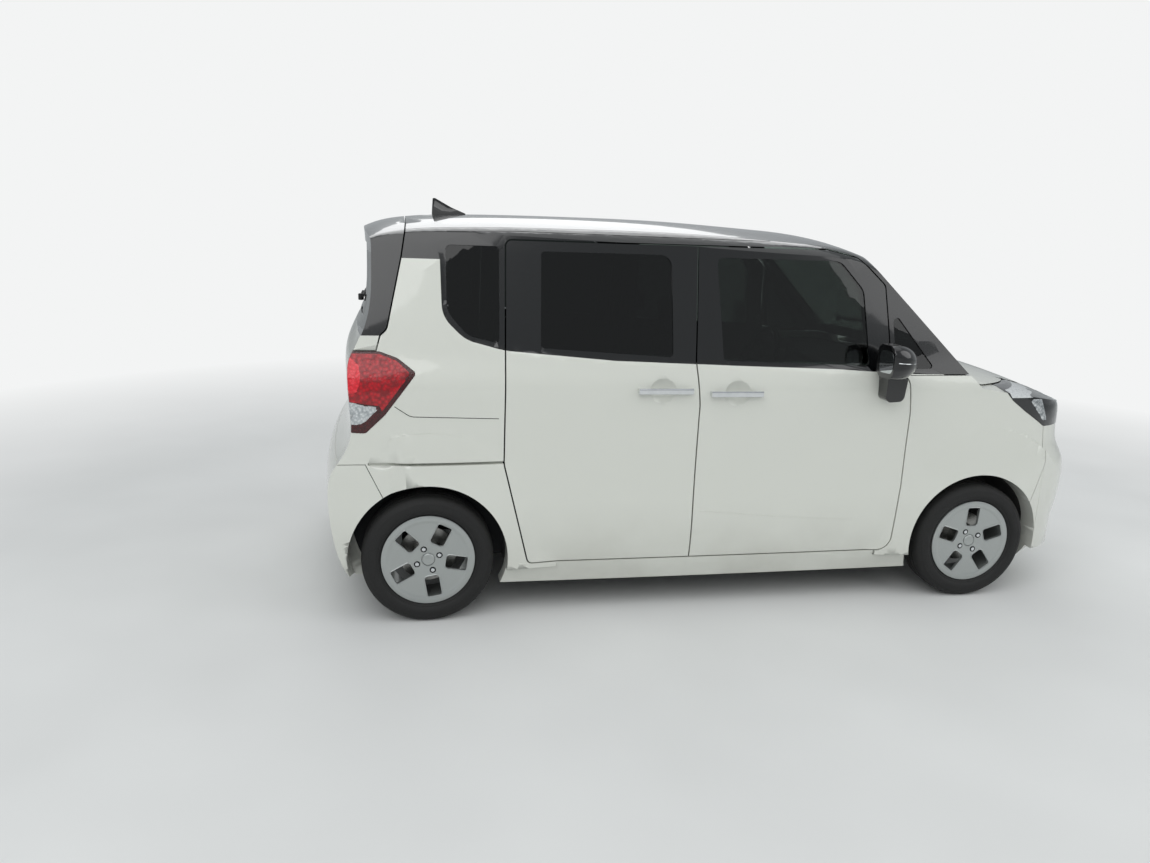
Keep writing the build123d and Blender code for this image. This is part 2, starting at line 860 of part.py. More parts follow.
def bonnet_plan(grow):
    """Everything ahead of the bonnet's rear edge, which bows with the windscreen."""
    centre = mid_x + BONNET_REAR_X - grow
    sag = (BONNET_REAR_X - BONNET_REAR_SIDE_X) * (REACH / BONNET_HALF_WIDTH) ** 2
    with BuildPart() as block:
        with BuildSketch(Plane.XY.offset(BONNET_ROOM[0])):
            with BuildLine():
                ThreePointArc((centre - sag, -REACH), (centre, 0), (centre - sag, REACH))
                Polyline((centre - sag, REACH), (LENGTH, REACH), (LENGTH, -REACH), (centre - sag, -REACH))
            make_face()
        extrude(amount=BONNET_ROOM[1] - BONNET_ROOM[0])
    return block.part


def wall_piece(keep, cuts=(), painted=True, black=True, flare_part=None):
    """The body's wall inside one block: painted below the belt line, a step lower in black above it."""
    with BuildPart() as bulge:
        if flare_part:
            add(flare_part)
            add(keep, mode=Mode.INTERSECT)
            add(inner_form, mode=Mode.SUBTRACT)
    with BuildPart() as lower:
        if painted:
            add(paint_form)
            add(keep, mode=Mode.INTERSECT)
            add(paint_zone, mode=Mode.INTERSECT)
            add(inner_form, mode=Mode.SUBTRACT)
        if flare_part:
            add(bulge.part)
    with BuildPart() as upper:
        if black:
            add(gloss_form)
            add(keep, mode=Mode.INTERSECT)
            add(paint_zone, mode=Mode.SUBTRACT)
            add(inner_form, mode=Mode.SUBTRACT)
    with BuildPart() as wall:
        if painted:
            add(lower.part)
        if black:
            add(upper.part)
        for cut in cuts:
            add(cut, mode=Mode.SUBTRACT)
    return wall.part


def door_panel(outline, side, window, handle, axle_x):
    """A door: its inner layer is narrower than its skin. It has a window, a grip and the cup behind that."""
    with BuildPart() as rebate:
        add(step_form)
        add(side_block(outline, -half_gap - DOOR_STEP, SIDE_NEAR, REACH, side), mode=Mode.SUBTRACT)
    cuts = (rebate.part, side_block(window, 0, SIDE_NEAR, REACH, side))
    keep = side_block(outline, -half_gap, SIDE_NEAR, REACH, side)
    wall = wall_piece(keep, cuts, flare_part=flare(axle_x, side))
    x_cup, x_from, x_to, height = handle
    grip_depth = HANDLE_STAND / 2
    grip_y = side * (CUP_SKIN_Y + HANDLE_STAND - grip_depth / 2)
    with BuildPart() as door:
        add(wall)
        with Locations((mid_x + x_cup, side * (CUP_SKIN_Y + CUP_RADIUS - CUP_DEPTH), height)):
            Sphere(CUP_RADIUS, mode=Mode.SUBTRACT)
        with BuildSketch(Plane.YZ.offset(mid_x + x_from)):
            with Locations((grip_y, height)):
                RectangleRounded(grip_depth, HANDLE_HEIGHT, grip_depth / 2 - 1)
        extrude(amount=x_to - x_from)
        for end in (x_from + HANDLE_FOOT / 2, x_to - HANDLE_FOOT / 2):
            with Locations((mid_x + end, side * (CUP_SKIN_Y + HANDLE_STAND / 2 - HANDLE_ROOT), height)):
                Box(HANDLE_FOOT, HANDLE_STAND, HANDLE_HEIGHT - HANDLE_FOOT_STEP)
    return door.part


def pane(hole):
    """The glass that fills a hole in the body, from the block of the hole less its clearance."""
    with BuildPart() as glass:
        add(glass_outer)
        add(hole, mode=Mode.INTERSECT)
        add(glass_inner, mode=Mode.SUBTRACT)
    return glass.part


def finish(piece, name):
    """Names a finished piece and writes it."""
    piece.label = name
    export_step(piece, f"parts/{name}.step")


def finish_pair(piece, name):
    """Writes a right-hand piece and its mirrored twin."""
    twin = mirror(piece, about=Plane.XZ)
    finish(piece, f"{name}_right")
    finish(twin, f"{name}_left")


paint_form = body_form(0, 0)
gloss_form = body_form(BLACK_STEP, 0)
step_form = body_form(0, STEP_SHARE)
inner_form = body_form(0, 1)
fit_form = body_form(SEAT, 1)
glass_outer = body_form(GLASS_STEP, 0)
glass_inner = body_form(GLASS_STEP + GLASS_THICKNESS, 0)
paint_zone = through_block(PAINT_ZONE)
wheel_arches = arch_holes()

# Blocks that bound the panels
half_gap = SHUT_GAP / 2
half_lamp = LAMP_GAP / 2
tail_far = mid_x + TAIL_FAR
lamp_low, lamp_high = HEADLAMP_ROOM
inner_near = HEADLAMP_INNER - half_lamp
inner_far = HEADLAMP_INNER + half_lamp
lamp_cut = through_block(HEADLAMP, half_lamp)
lamp_keep = through_block(HEADLAMP, -half_lamp)
lamp_middle = box_between((0, -inner_near, lamp_low), (LENGTH, inner_near, lamp_high))
lamp_middle_keep = box_between((0, -inner_far, lamp_low), (LENGTH, inner_far, lamp_high))
with BuildPart() as lamp_room:
    add(lamp_cut)
    add(lamp_middle, mode=Mode.SUBTRACT)
front_bumper_cut = through_block(FRONT_BUMPER, half_lamp)
front_bumper_keep = through_block(FRONT_BUMPER, -half_lamp)
with BuildPart() as bonnet_room:
    add(through_block(BONNET, half_gap))
    add(bonnet_plan(SHUT_GAP), mode=Mode.INTERSECT)
with BuildPart() as bonnet_keep:
    add(through_block(BONNET, -half_gap))
    add(bonnet_plan(0), mode=Mode.INTERSECT)
    add(screen_block(-SHUT_GAP), mode=Mode.SUBTRACT)
tail_lamp_cut = through_block(TAIL_LAMP, half_lamp)
tail_lamp_keep = through_block(TAIL_LAMP, -half_lamp)
rear_bumper_cut = through_block(REAR_BUMPER, half_lamp)
rear_bumper_keep = through_block(REAR_BUMPER, -half_lamp)


def tailgate_block(grow):
    """The room of the tailgate: it wraps round the corners above the lamps and stands between them below."""
    reach = TAILGATE_HALF_WIDTH + grow
    with BuildPart() as block:
        add(through_block(TAILGATE_SIDE, grow))
        add(
            box_between(
                (tail_far, -reach, TAILGATE_BOTTOM - grow),
                (mid_x + TAILGATE_LOW_FRONT, reach, TAILGATE_LOW_TOP),
            )
        )
    return block.part


tailgate_keep = tailgate_block(-half_gap)
tailgate_cut = tailgate_block(half_gap)
roof_keep = box_between(
    (mid_x + ROOF_REAR_X, -ROOF_HALF_WIDTH, HEADER_BOTTOM),
    (mid_x + ROOF_FRONT_X, ROOF_HALF_WIDTH, ROOM_ABOVE),
)
roof_cut = box_between(
    (tail_far, -ROOF_HALF_WIDTH - ROOF_GAP, HEADER_BOTTOM - ROOF_GAP),
    (mid_x + ROOF_FRONT_X, ROOF_HALF_WIDTH + ROOF_GAP, ROOM_ABOVE),
)
screen_from, screen_to = (mid_x + ahead for ahead in SCREEN_ROOM)
rear_glass_front = mid_x + REAR_GLASS_FRONT
windscreen_hole = end_block(WINDSCREEN, 0, screen_from, screen_to)
rear_glass_hole = end_block(REAR_GLASS, 0, tail_far, rear_glass_front)
fender_room = {side: side_block(FENDER, LAMP_GAP, 0, REACH, side) for side in (-1, 1)}

# Doors and their panes
finish_pair(door_panel(FRONT_DOOR, -1, FRONT_DOOR_GLASS, FRONT_HANDLE, front_axle_x), "front_door")
finish(door_panel(SLIDE_DOOR, -1, SLIDE_DOOR_GLASS, SLIDE_HANDLE, rear_axle_x), "slide_door")
finish(door_panel(REAR_DOOR, 1, SLIDE_DOOR_GLASS, REAR_HANDLE, rear_axle_x), "rear_door_left")
finish_pair(pane(side_block(FRONT_DOOR_GLASS, -SEAT, SIDE_NEAR, REACH, -1)), "front_door_glass")
finish(pane(side_block(SLIDE_DOOR_GLASS, -SEAT, SIDE_NEAR, REACH, -1)), "slide_door_glass")
finish(pane(side_block(SLIDE_DOOR_GLASS, -SEAT, SIDE_NEAR, REACH, 1)), "rear_door_glass_left")

# Fixed side panes, two at the front and two at the rear, in one node
with BuildPart() as quarter_windows:
    for pane_outline in (FRONT_QUARTER_GLASS, REAR_QUARTER_GLASS):
        for pane_side in (-1, 1):
            add(pane(side_block(pane_outline, -SEAT, SIDE_NEAR, REACH, pane_side)))
finish(quarter_windows.part, "quarter_windows")

# Front and rear screens
finish(pane(end_block(WINDSCREEN, -SEAT, screen_from, screen_to)), "windscreen")
finish(pane(end_block(REAR_GLASS, -SEAT, tail_far, rear_glass_front)), "rear_screen")

# Front wings
fender = wall_piece(
    side_block(FENDER, 0, FENDER_INNER_Y, REACH, -1),
    (
        side_block(FRONT_DOOR, half_gap, SIDE_NEAR, REACH, -1),
        bonnet_room.part,
        lamp_room.part,
        front_bumper_cut,
        wheel_arches,
    ),
    black=False,
    flare_part=flare(front_axle_x, -1),
)
finish_pair(fender, "fender")


def side_frame(side, rear_door):
    """One body side: pillars, cant rail, sill and rear quarter round the door openings."""
    windows = (FRONT_QUARTER_GLASS, REAR_QUARTER_GLASS)
    cuts = [side_block(outline, half_gap, SIDE_NEAR, REACH, side) for outline in (FRONT_DOOR, rear_door)]
    cuts += [side_block(outline, 0, SIDE_NEAR, REACH, side) for outline in windows]
    cuts += [fender_room[side], roof_cut, tailgate_cut, rear_bumper_cut, tail_lamp_cut, windscreen_hole]
    cuts += [bonnet_room.part, wheel_arches]
    keep = side_block(SIDE_FRAME, 0, SIDE_FRAME_INNER_Y, REACH, side)
    return wall_piece(keep, cuts, flare_part=flare(rear_axle_x, side))


# Right body side, with the channel that the sliding door's rear roller runs in
with BuildPart() as side_frame_right:
    add(side_frame(-1, SLIDE_DOOR))
    add(side_block(RAIL_SLOT, 0, RAIL_SLOT_Y, REACH, -1), mode=Mode.SUBTRACT)
finish(side_frame_right.part, "side_frame_right")

# Left body side, with the pillar between its doors and the pocket of the fuel filler
with BuildPart() as pillar:
    add(
        box_between(
            (mid_x + PILLAR_REAR, PILLAR_INNER_Y, FLOOR_TOP + SEAT),
            (mid_x + PILLAR_FRONT, REACH, ROOM_ABOVE),
        )
    )
    add(body_form(SHUT_GAP, 1), mode=Mode.INTERSECT)
    add(
        box_between(
            (mid_x + PILLAR_REAR, PILLAR_INNER_Y, PILLAR_HEAD_LOW),
            (mid_x + PILLAR_FRONT, PILLAR_HEAD_Y, PILLAR_HEAD_HIGH),
        )
    )
with BuildPart() as pocket:
    add(side_block(FUEL_LID, half_lamp, SIDE_NEAR, REACH, 1))
    add(body_form(FUEL_POCKET_DEPTH, 0), mode=Mode.SUBTRACT)
with BuildPart() as side_frame_left:
    add(side_frame(1, REAR_DOOR))
    add(pillar.part)
    add(pocket.part, mode=Mode.SUBTRACT)
    cap_x, cap_z = mid_x + FUEL_CAP[0], FUEL_CAP[1]
    add(rod_across(cap_x, cap_z, FUEL_CAP_RADIUS, FUEL_CAP_Y - FUEL_CAP_DEPTH, FUEL_CAP_Y))
finish(side_frame_left.part, "side_frame_left")

# Fuel flap
with BuildPart() as fuel_lid:
    add(paint_form)
    add(side_block(FUEL_LID, -half_lamp, SIDE_NEAR, REACH, 1), mode=Mode.INTERSECT)
    add(body_form(FUEL_LID_THICKNESS, 0), mode=Mode.SUBTRACT)
finish(fuel_lid.part, "fuel_lid")

# Roof with its antenna fin
with BuildPart() as roof_panel:
    add(wall_piece(roof_keep, (tailgate_cut, windscreen_hole), painted=False))
    add(side_block(ANTENNA_FIN, 0, -FIN_WIDTH / 2, FIN_WIDTH / 2))
    for door_side in (-1, 1):
        add(side_block(FRONT_DOOR, half_gap, SIDE_NEAR, REACH, door_side), mode=Mode.SUBTRACT)
finish(roof_panel.part, "roof_panel")

# Tailgate with its flat for the number plate
plate_y = PLATE_WIDTH / 2 + PLATE_MARGIN
with BuildPart() as tailgate:
    add(wall_piece(tailgate_keep, (rear_glass_hole,)))
    add(
        box_between((tail_far, -plate_y, PLATE_LOW), (PLATE_REAR_X, plate_y, PLATE_HIGH)),
        mode=Mode.SUBTRACT,
    )
    with Locations(Plane.YZ.offset(PLATE_REAR_X)):
        with Locations((0, PLATE_BOLT_Z)):
            with GridLocations(PLATE_BOLT_SPACING, 1, 2, 1):
                Cylinder(PLATE_BOLT_RADIUS, 2 * PLATE_BOLT_DEPTH, mode=Mode.SUBTRACT)
finish(tailgate.part, "tailgate")

# Bumpers
def bumper_piece(keep, cuts, axle_x):
    """One painted bumper with both of its wheel arch bulges."""
    with BuildPart() as both:
        for side in (-1, 1):
            add(flare(axle_x, side))
    return wall_piece(keep, (*cuts, wheel_arches), black=False, flare_part=both.part)


with BuildPart() as grille_bars:
    for bar_height in GRILLE_BARS:
        add(
            box_between(
                (GRILLE_REAR_X, -GRILLE_BAR_Y, bar_height - GRILLE_BAR_THICKNESS / 2),
                (LENGTH, GRILLE_BAR_Y, bar_height + GRILLE_BAR_THICKNESS / 2),
            )
        )
    add(body_form(GRILLE_BAR_DEPTH, 0), mode=Mode.INTERSECT)
    add(body_form(GRILLE_BAR_BACK, 0), mode=Mode.SUBTRACT)
front_cuts = (
    bonnet_room.part,
    lamp_room.part,
    end_block(LOWER_GRILLE, 0, front_axle_x, LENGTH),
    end_block(UPPER_GRILLE, 0, front_axle_x, LENGTH),
    box_between((PLATE_FRONT_X, -FRONT_FLAT_Y, FRONT_FLAT_LOW), (LENGTH, FRONT_FLAT_Y, FRONT_FLAT_HIGH)),
)
with BuildPart() as front_bumper:
    add(bumper_piece(front_bumper_keep, front_cuts, front_axle_x))
    add(grille_bars.part)
    with Locations(Plane.YZ.offset(PLATE_FRONT_X)):
        with Locations((0, FRONT_BOLT_Z)):
            with GridLocations(PLATE_BOLT_SPACING, 1, 2, 1):
                Cylinder(PLATE_BOLT_RADIUS, 2 * PLATE_BOLT_DEPTH, mode=Mode.SUBTRACT)
    for radius, x_from, x_to in (
        (TOW_FACE_RADIUS, TOW_FRONT[0], LENGTH),
        (TOW_RADIUS, TOW_FRONT[0] - TOW_DEPTH, LENGTH),
    ):
        with BuildSketch(Plane.YZ.offset(x_from)):
            with Locations(TOW_FRONT[1:]):
                Circle(radius)
        extrude(amount=x_to - x_from, mode=Mode.SUBTRACT)
finish(front_bumper.part, "front_bumper")
with BuildPart() as rear_bumper:
    add(bumper_piece(rear_bumper_keep, (tailgate_cut,), rear_axle_x))
    for radius, x_from, x_to in (
        (TOW_FACE_RADIUS, TOW_REAR[0], -LENGTH),
        (TOW_RADIUS, TOW_REAR[0] + TOW_DEPTH, -LENGTH),
    ):
        with BuildSketch(Plane.YZ.offset(x_from)):
            with Locations(TOW_REAR[1:]):
                Circle(radius)
        extrude(amount=x_to - x_from, mode=Mode.SUBTRACT)
finish(rear_bumper.part, "rear_bumper")

# Lamps
finish(wall_piece(lamp_keep, (lamp_middle_keep, bonnet_room.part), black=False), "headlamps")
finish(wall_piece(tail_lamp_keep, (tailgate_cut,), black=False), "tail_lamps")

# Bonnet
finish(wall_piece(bonnet_keep.part, black=False), "bonnet")

# Scuttle between the bonnet and the windscreen
with BuildPart() as cowl:
    add(gloss_form)
    cowl_ahead, cowl_y, cowl_up = COWL_ROOM
    add(block(cowl_ahead, (-cowl_y, cowl_y), cowl_up), mode=Mode.INTERSECT)
    add(inner_form, mode=Mode.SUBTRACT)
    for cut in (bonnet_room.part, windscreen_hole, fender_room[-1], fender_room[1]):
        add(cut, mode=Mode.SUBTRACT)
    for side in (-1, 1):
        frame_room = side_block(SIDE_FRAME, LAMP_GAP, SIDE_FRAME_INNER_Y - LAMP_GAP, REACH, side)
        add(frame_room, mode=Mode.SUBTRACT)
finish(cowl.part, "cowl")


def steer_plane(side, height):
    """The plane square to one steering axis where that axis passes a height."""
    run = STEER_HEAD[0] - STEER_FOOT[0]
    rise = STEER_HEAD[1] - STEER_FOOT[1]
    y = STEER_FOOT[0] + run * (height - STEER_FOOT[1]) / rise
    return Plane(origin=(front_axle_x, side * y, height), x_dir=(1, 0, 0), z_dir=(0, side * run, rise))


def steer_rod(side, radius, low, high):
    """A round bar along one steering axis between two heights."""
    run = STEER_HEAD[0] - STEER_FOOT[0]
    rise = STEER_HEAD[1] - STEER_FOOT[1]
    with BuildPart() as rod:
        with BuildSketch(steer_plane(side, low)):
            Circle(radius)
        extrude(amount=(high - low) * (run**2 + rise**2) ** 0.5 / rise)
    return rod.part


def house_shell(axle_x, inner_y, side):
    """One inner wheel house: a ring over the arch and the wall that closes it towards the middle."""
    outer = ARCH_RADIUS + HOUSE_WALL
    with BuildPart() as shell:
        add(rod_across(axle_x, TYRE_RADIUS, outer, side * (inner_y - HOUSE_WALL), side * REACH))
        add(rod_across(axle_x, TYRE_RADIUS, ARCH_RADIUS, side * inner_y, side * REACH), mode=Mode.SUBTRACT)
        below = box_between((axle_x - outer, -REACH, -REACH), (axle_x + outer, REACH, FLOOR_BOTTOM))
        add(below, mode=Mode.SUBTRACT)
        add(fit_form, mode=Mode.INTERSECT)
    return shell.part


def across(side, near, far):
    """The reach across the car of a piece on one side, lowest first."""
    return sorted((side * near, side * far))


# Floor with the seat risers and the rear wheel houses
with BuildPart() as floor_pan:
    add(side_block(FLOOR_PROFILE, 0, -REACH, REACH, -1))
    add(fit_form, mode=Mode.INTERSECT)
    riser_near = FRONT_SEAT_Y - SEAT_RISER_WIDTH / 2
    for side in (-1, 1):
        riser = across(side, riser_near, riser_near + SEAT_RISER_WIDTH)
        add(block(SEAT_RISER, riser, (FLOOR_TOP - ROOT, SEAT_RISER_TOP)))
    add(
        block(
            (KICK_UP - ROOT, BENCH_RISER_FRONT),
            (-BENCH_RISER_Y, BENCH_RISER_Y),
            (FLOOR_TOP - ROOT, BENCH_RISER_TOP),
        )
    )
    notch_ahead, notch_y, notch_top = ARM_NOTCH
    for side in (-1, 1):
        add(
            rod_across(rear_axle_x, TYRE_RADIUS, ARCH_RADIUS, side * REAR_HOUSE_Y, side * REACH),
            mode=Mode.SUBTRACT,
        )
        add(house_shell(rear_axle_x, REAR_HOUSE_Y, side))
    for side in (-1, 1):
        notch = block(notch_ahead, across(side, *notch_y), (FLOOR_BOTTOM - ROOT, notch_top))
        add(notch, mode=Mode.SUBTRACT)
finish(floor_pan.part, "floor_pan")

# Bulkhead, legs, wheel houses, strut towers and the frame of the radiator
beam = (LEG_END - BEAM_SHEET, LEG_END)
tower_inside = TOWER_TOP - TOWER_WALL
with BuildPart() as front_structure:
    add(block((BULKHEAD, BULKHEAD + BULKHEAD_SHEET), (-REACH, REACH), (FLOOR_TOP + SEAT, BULKHEAD_TOP)))
    add(fit_form, mode=Mode.INTERSECT)
    for side in (-1, 1):
        leg = across(side, LEG_Y, LEG_Y + LEG_WIDTH)
        add(block((BULKHEAD, LEG_END), leg, (LEG_LOW, LEG_HIGH)))
        add(block(beam, leg, (LEG_HIGH - ROOT, BEAM_TOP[1])))
        add(block(beam, leg, (BEAM_BOTTOM[0], LEG_LOW + ROOT)))
        add(house_shell(front_axle_x, FRONT_HOUSE_Y, side))
        tower_root = TYRE_RADIUS + ARCH_RADIUS - TOWER_SINK
        add(rod_up(front_axle_x, side * STRUT_TOWER_Y, TOWER_RADIUS, tower_root, TOWER_TOP))
    for beam_span in (BEAM_TOP, BEAM_BOTTOM):
        add(block(beam, (-LEG_Y - ROOT, LEG_Y + ROOT), beam_span))
    notch_ahead, notch_top = WISHBONE_NOTCH
    for side in (-1, 1):
        room = rod_up(front_axle_x, side * STRUT_TOWER_Y, TOWER_RADIUS - TOWER_WALL, TOWER_FOOT, tower_inside)
        add(room, mode=Mode.SUBTRACT)
        notch = across(side, FRONT_HOUSE_Y - HOUSE_WALL - 1, FRONT_HOUSE_Y + 1)
        add(block(notch_ahead, notch, (FLOOR_BOTTOM - ROOT, notch_top)), mode=Mode.SUBTRACT)
finish(front_structure.part, "front_structure")

# Radiator, standing in its frame on two bushes
radiator_low, radiator_high = RADIATOR_SPAN
with BuildPart() as radiator:
    add(
        block(
            (RADIATOR_FRONT - RADIATOR_THICKNESS, RADIATOR_FRONT),
            (SEAT - LEG_Y, LEG_Y - SEAT),
            (radiator_low, radiator_high),
        )
    )
    for bush_y in (-RADIATOR_BUSH_Y, RADIATOR_BUSH_Y):
        bush_x = mid_x + RADIATOR_FRONT - RADIATOR_THICKNESS / 2
        add(rod_up(bush_x, bush_y, RADIATOR_BUSH_RADIUS, BEAM_BOTTOM[0] + ROOT, radiator_low + ROOT))
finish(radiator.part, "radiator")

# Engine and gearbox as one plain block on the subframe
engine_ahead, engine_y, engine_top = ENGINE_ROOM
with BuildPart() as engine:
    add(block(engine_ahead, (-engine_y, engine_y), (SUBFRAME_HIGH + SEAT, engine_top)))
    fillet(engine.edges().filter_by(Axis.Z), ENGINE_CORNER)
finish(engine.part, "engine")

# Front subframe, lower arms, and the rods and springs of the struts
subframe_ahead, subframe_y = SUBFRAME
pivot_rear, pivot_front = (mid_x + ahead for ahead in ARM_PIVOTS)
with BuildPart() as front_suspension:
    add(block(subframe_ahead, (-subframe_y, subframe_y), (ARM_LOW + ROOT, SUBFRAME_HIGH)))
    for side in (-1, 1):
        arm_points = (
            (pivot_rear, side * ARM_ROOT_Y),
            (pivot_front, side * ARM_ROOT_Y),
            (pivot_front, side * ARM_PIVOT_Y),
            (front_axle_x + JOINT_EYE_RADIUS, side * ARM_NECK_Y),
            (front_axle_x + JOINT_EYE_RADIUS, side * STEER_FOOT[0]),
            (front_axle_x - JOINT_EYE_RADIUS, side * STEER_FOOT[0]),
            (front_axle_x - JOINT_EYE_RADIUS, side * ARM_NECK_Y),
            (pivot_rear, side * ARM_PIVOT_Y),
        )
        with BuildSketch(Plane.XY.offset(ARM_LOW)):
            with BuildLine():
                Polyline(*arm_points, close=True)
            make_face()
        extrude(amount=ARM_HIGH - ARM_LOW)
        add(rod_up(front_axle_x, side * STEER_FOOT[0], JOINT_EYE_RADIUS, ARM_LOW, ARM_HIGH))
        eye = steer_rod(side, JOINT_PIN_RADIUS + JOINT_CLEARANCE, ARM_LOW - 2 * ROOT, ARM_HIGH + 2 * ROOT)
        add(eye, mode=Mode.SUBTRACT)
        add(steer_rod(side, STRUT_ROD_RADIUS, STRUT_ROD_LOW, SPRING_HIGH + ROOT))
        add(steer_rod(side, SPRING_RADIUS, SPRING_LOW, SPRING_HIGH))
        top_mount = rod_up(
            front_axle_x,
            side * STRUT_TOWER_Y,
            TOWER_RADIUS - TOWER_WALL - SEAT,
            SPRING_HIGH - ROOT,
            tower_inside - SEAT,
        )
        add(top_mount)
finish(front_suspension.part, "front_suspension")

# Front knuckles with the strut tube above, the ball pin below and the spindle outwards
carrier_x = (front_axle_x - CARRIER_HALF_THICKNESS, front_axle_x + CARRIER_HALF_THICKNESS)
with BuildPart() as knuckle:
    add(rod_across(front_axle_x, TYRE_RADIUS, CARRIER_RADIUS, -CARRIER_Y, -CARRIER_FACE_Y))
    add(rod_across(front_axle_x, TYRE_RADIUS, SPINDLE_RADIUS, -CARRIER_FACE_Y + ROOT, -SPINDLE_END_Y))
    for reach_y, top in (
        (CARRIER_FACE_Y, STRUT_LOW + STRUT_CLAMP),
        (STEER_FOOT[0] + KNUCKLE_REACH, ARM_HIGH + KNUCKLE_FOOT),
    ):
        corner = (carrier_x[0], -reach_y, ARM_HIGH + KNUCKLE_GAP)
        add(box_between(corner, (carrier_x[1], -KNUCKLE_INNER_Y, top)))
    add(steer_rod(-1, JOINT_PIN_RADIUS, ARM_LOW + 2, ARM_HIGH + PIN_TOP))
    add(steer_rod(-1, STRUT_RADIUS, STRUT_LOW, STRUT_HIGH))
    bore = steer_rod(
        -1, STRUT_ROD_RADIUS + JOINT_CLEARANCE, STRUT_HIGH - STRUT_BORE_DEPTH, STRUT_HIGH + 2 * ROOT
    )
    add(bore, mode=Mode.SUBTRACT)
finish_pair(knuckle.part, "knuckle")

# Rear beam with its trailing arms, spindles, springs and dampers
boot_underside = BOOT_FLOOR - BOOT_SHEET - SEAT
arm_ahead, arm_y, arm_up = REAR_ARM
foot_ahead, foot_up = REAR_ARM_FOOT
with BuildPart() as rear_axle:
    beam_ahead = (BEAM_X - BEAM_HALF_DEPTH, BEAM_X + BEAM_HALF_DEPTH)
    add(block(beam_ahead, (-BEAM_HALF_WIDTH, BEAM_HALF_WIDTH), BEAM_SPAN))
    for side in (-1, 1):
        arm = across(side, *arm_y)
        add(block(arm_ahead, arm, arm_up))
        add(block(foot_ahead, arm, foot_up))
        add(rod_across(mid_x + REAR_PIVOT[0], REAR_PIVOT[1], REAR_PIVOT_RADIUS, *arm))
        for radius, inner_y, outer_y in (
            (CARRIER_RADIUS, REAR_CARRIER_Y, CARRIER_FACE_Y),
            (SPINDLE_RADIUS, CARRIER_FACE_Y - ROOT, SPINDLE_END_Y),
        ):
            add(rod_across(rear_axle_x, TYRE_RADIUS, radius, side * inner_y, side * outer_y))
        for (ahead, out, low), radius in (
            (REAR_SPRING, REAR_SPRING_RADIUS),
            (REAR_DAMPER, REAR_DAMPER_RADIUS),
        ):
            add(rod_up(mid_x + ahead, side * out, radius, low, boot_underside))
finish(rear_axle.part, "rear_axle")

# Fuel tank under the floor
tank_ahead, tank_y, tank_low = TANK_ROOM
with BuildPart() as fuel_tank:
    add(block(tank_ahead, tank_y, (tank_low, FLOOR_BOTTOM - SEAT)))
    fillet(fuel_tank.edges().filter_by(Axis.Z), TANK_CORNER)
    fillet(fuel_tank.faces().sort_by(Axis.Z)[0].edges(), TANK_EDGE)
finish(fuel_tank.part, "fuel_tank")

# Exhaust: one pipe along the floor, over the rear beam, to the silencer behind the axle
route = [
    (mid_x + ahead, EXHAUST_Y, up)
    for ahead, up in (
        (engine_ahead[0] - 2 * SEAT, MANIFOLD_HEIGHT),
        (engine_ahead[0] - PIPE_STEPS[0], MANIFOLD_HEIGHT),
        (engine_ahead[0] - PIPE_STEPS[1], EXHAUST_LOW),
        (BEAM_X + PIPE_STEPS[2], EXHAUST_LOW),
        (BEAM_X + PIPE_STEPS[3], EXHAUST_HIGH),
        (SILENCER[0][1] - ROOT, EXHAUST_HIGH),
    )
]
tail_x, tail_y, tail_z = TAIL_PIPE
with BuildPart() as exhaust:
    with BuildLine():
        FilletPolyline(*route, radius=PIPE_BEND)
    with BuildSketch(Plane(origin=route[0], z_dir=(-1, 0, 0))):
        Circle(PIPE_RADIUS)
    sweep()
    add(block(*SILENCER))
    add(block(*SILENCER_STRAP, (SILENCER[2][1] - ROOT, boot_underside)))
    with BuildSketch(Plane(origin=(mid_x + tail_x, tail_y, tail_z), z_dir=(-TAIL_PIPE_LEAN, 0, -1))):
        Circle(PIPE_RADIUS)
    extrude(amount=TAIL_PIPE_LENGTH)
    for hanger in HANGERS:
        add(rod_up(mid_x + hanger, EXHAUST_Y, HANGER_RADIUS, EXHAUST_LOW + ROOT, FLOOR_BOTTOM - SEAT))
finish(exhaust.part, "exhaust")

# Dashboard with the steering column and the centre console
tilt = radians(STEERING_TILT)
column_plane = Plane(
    origin=(mid_x + STEERING_CENTRE[0], STEERING_CENTRE[1], STEERING_CENTRE[2]),
    x_dir=(0, 1, 0),
    z_dir=(-cos(tilt), 0, sin(tilt)),
)
with BuildPart() as dashboard:
    add(side_block(DASH_PROFILE, 0, -DASH_HALF_WIDTH, DASH_HALF_WIDTH, -1))
    add(fit_form, mode=Mode.INTERSECT)
    with BuildSketch(column_plane.offset(-COLUMN_SHROUD_BACK)):
        RectangleRounded(*COLUMN_SHROUD)
    extrude(amount=COLUMN_SHROUD_BACK - SHROUD_GAP)
    with BuildSketch(column_plane.offset(-COLUMN_BACK)):
        Circle(COLUMN_RADIUS)
    extrude(amount=COLUMN_BACK - COLUMN_GAP)
    console = (BULKHEAD - CONSOLE_DEPTH, BULKHEAD - ROOT)
    console_up = (FLOOR_TOP + SEAT, DASH_BOTTOM + 4 * ROOT)
    add(block(console, (-CONSOLE_HALF_WIDTH, CONSOLE_HALF_WIDTH), console_up))
finish(dashboard.part, "dashboard")

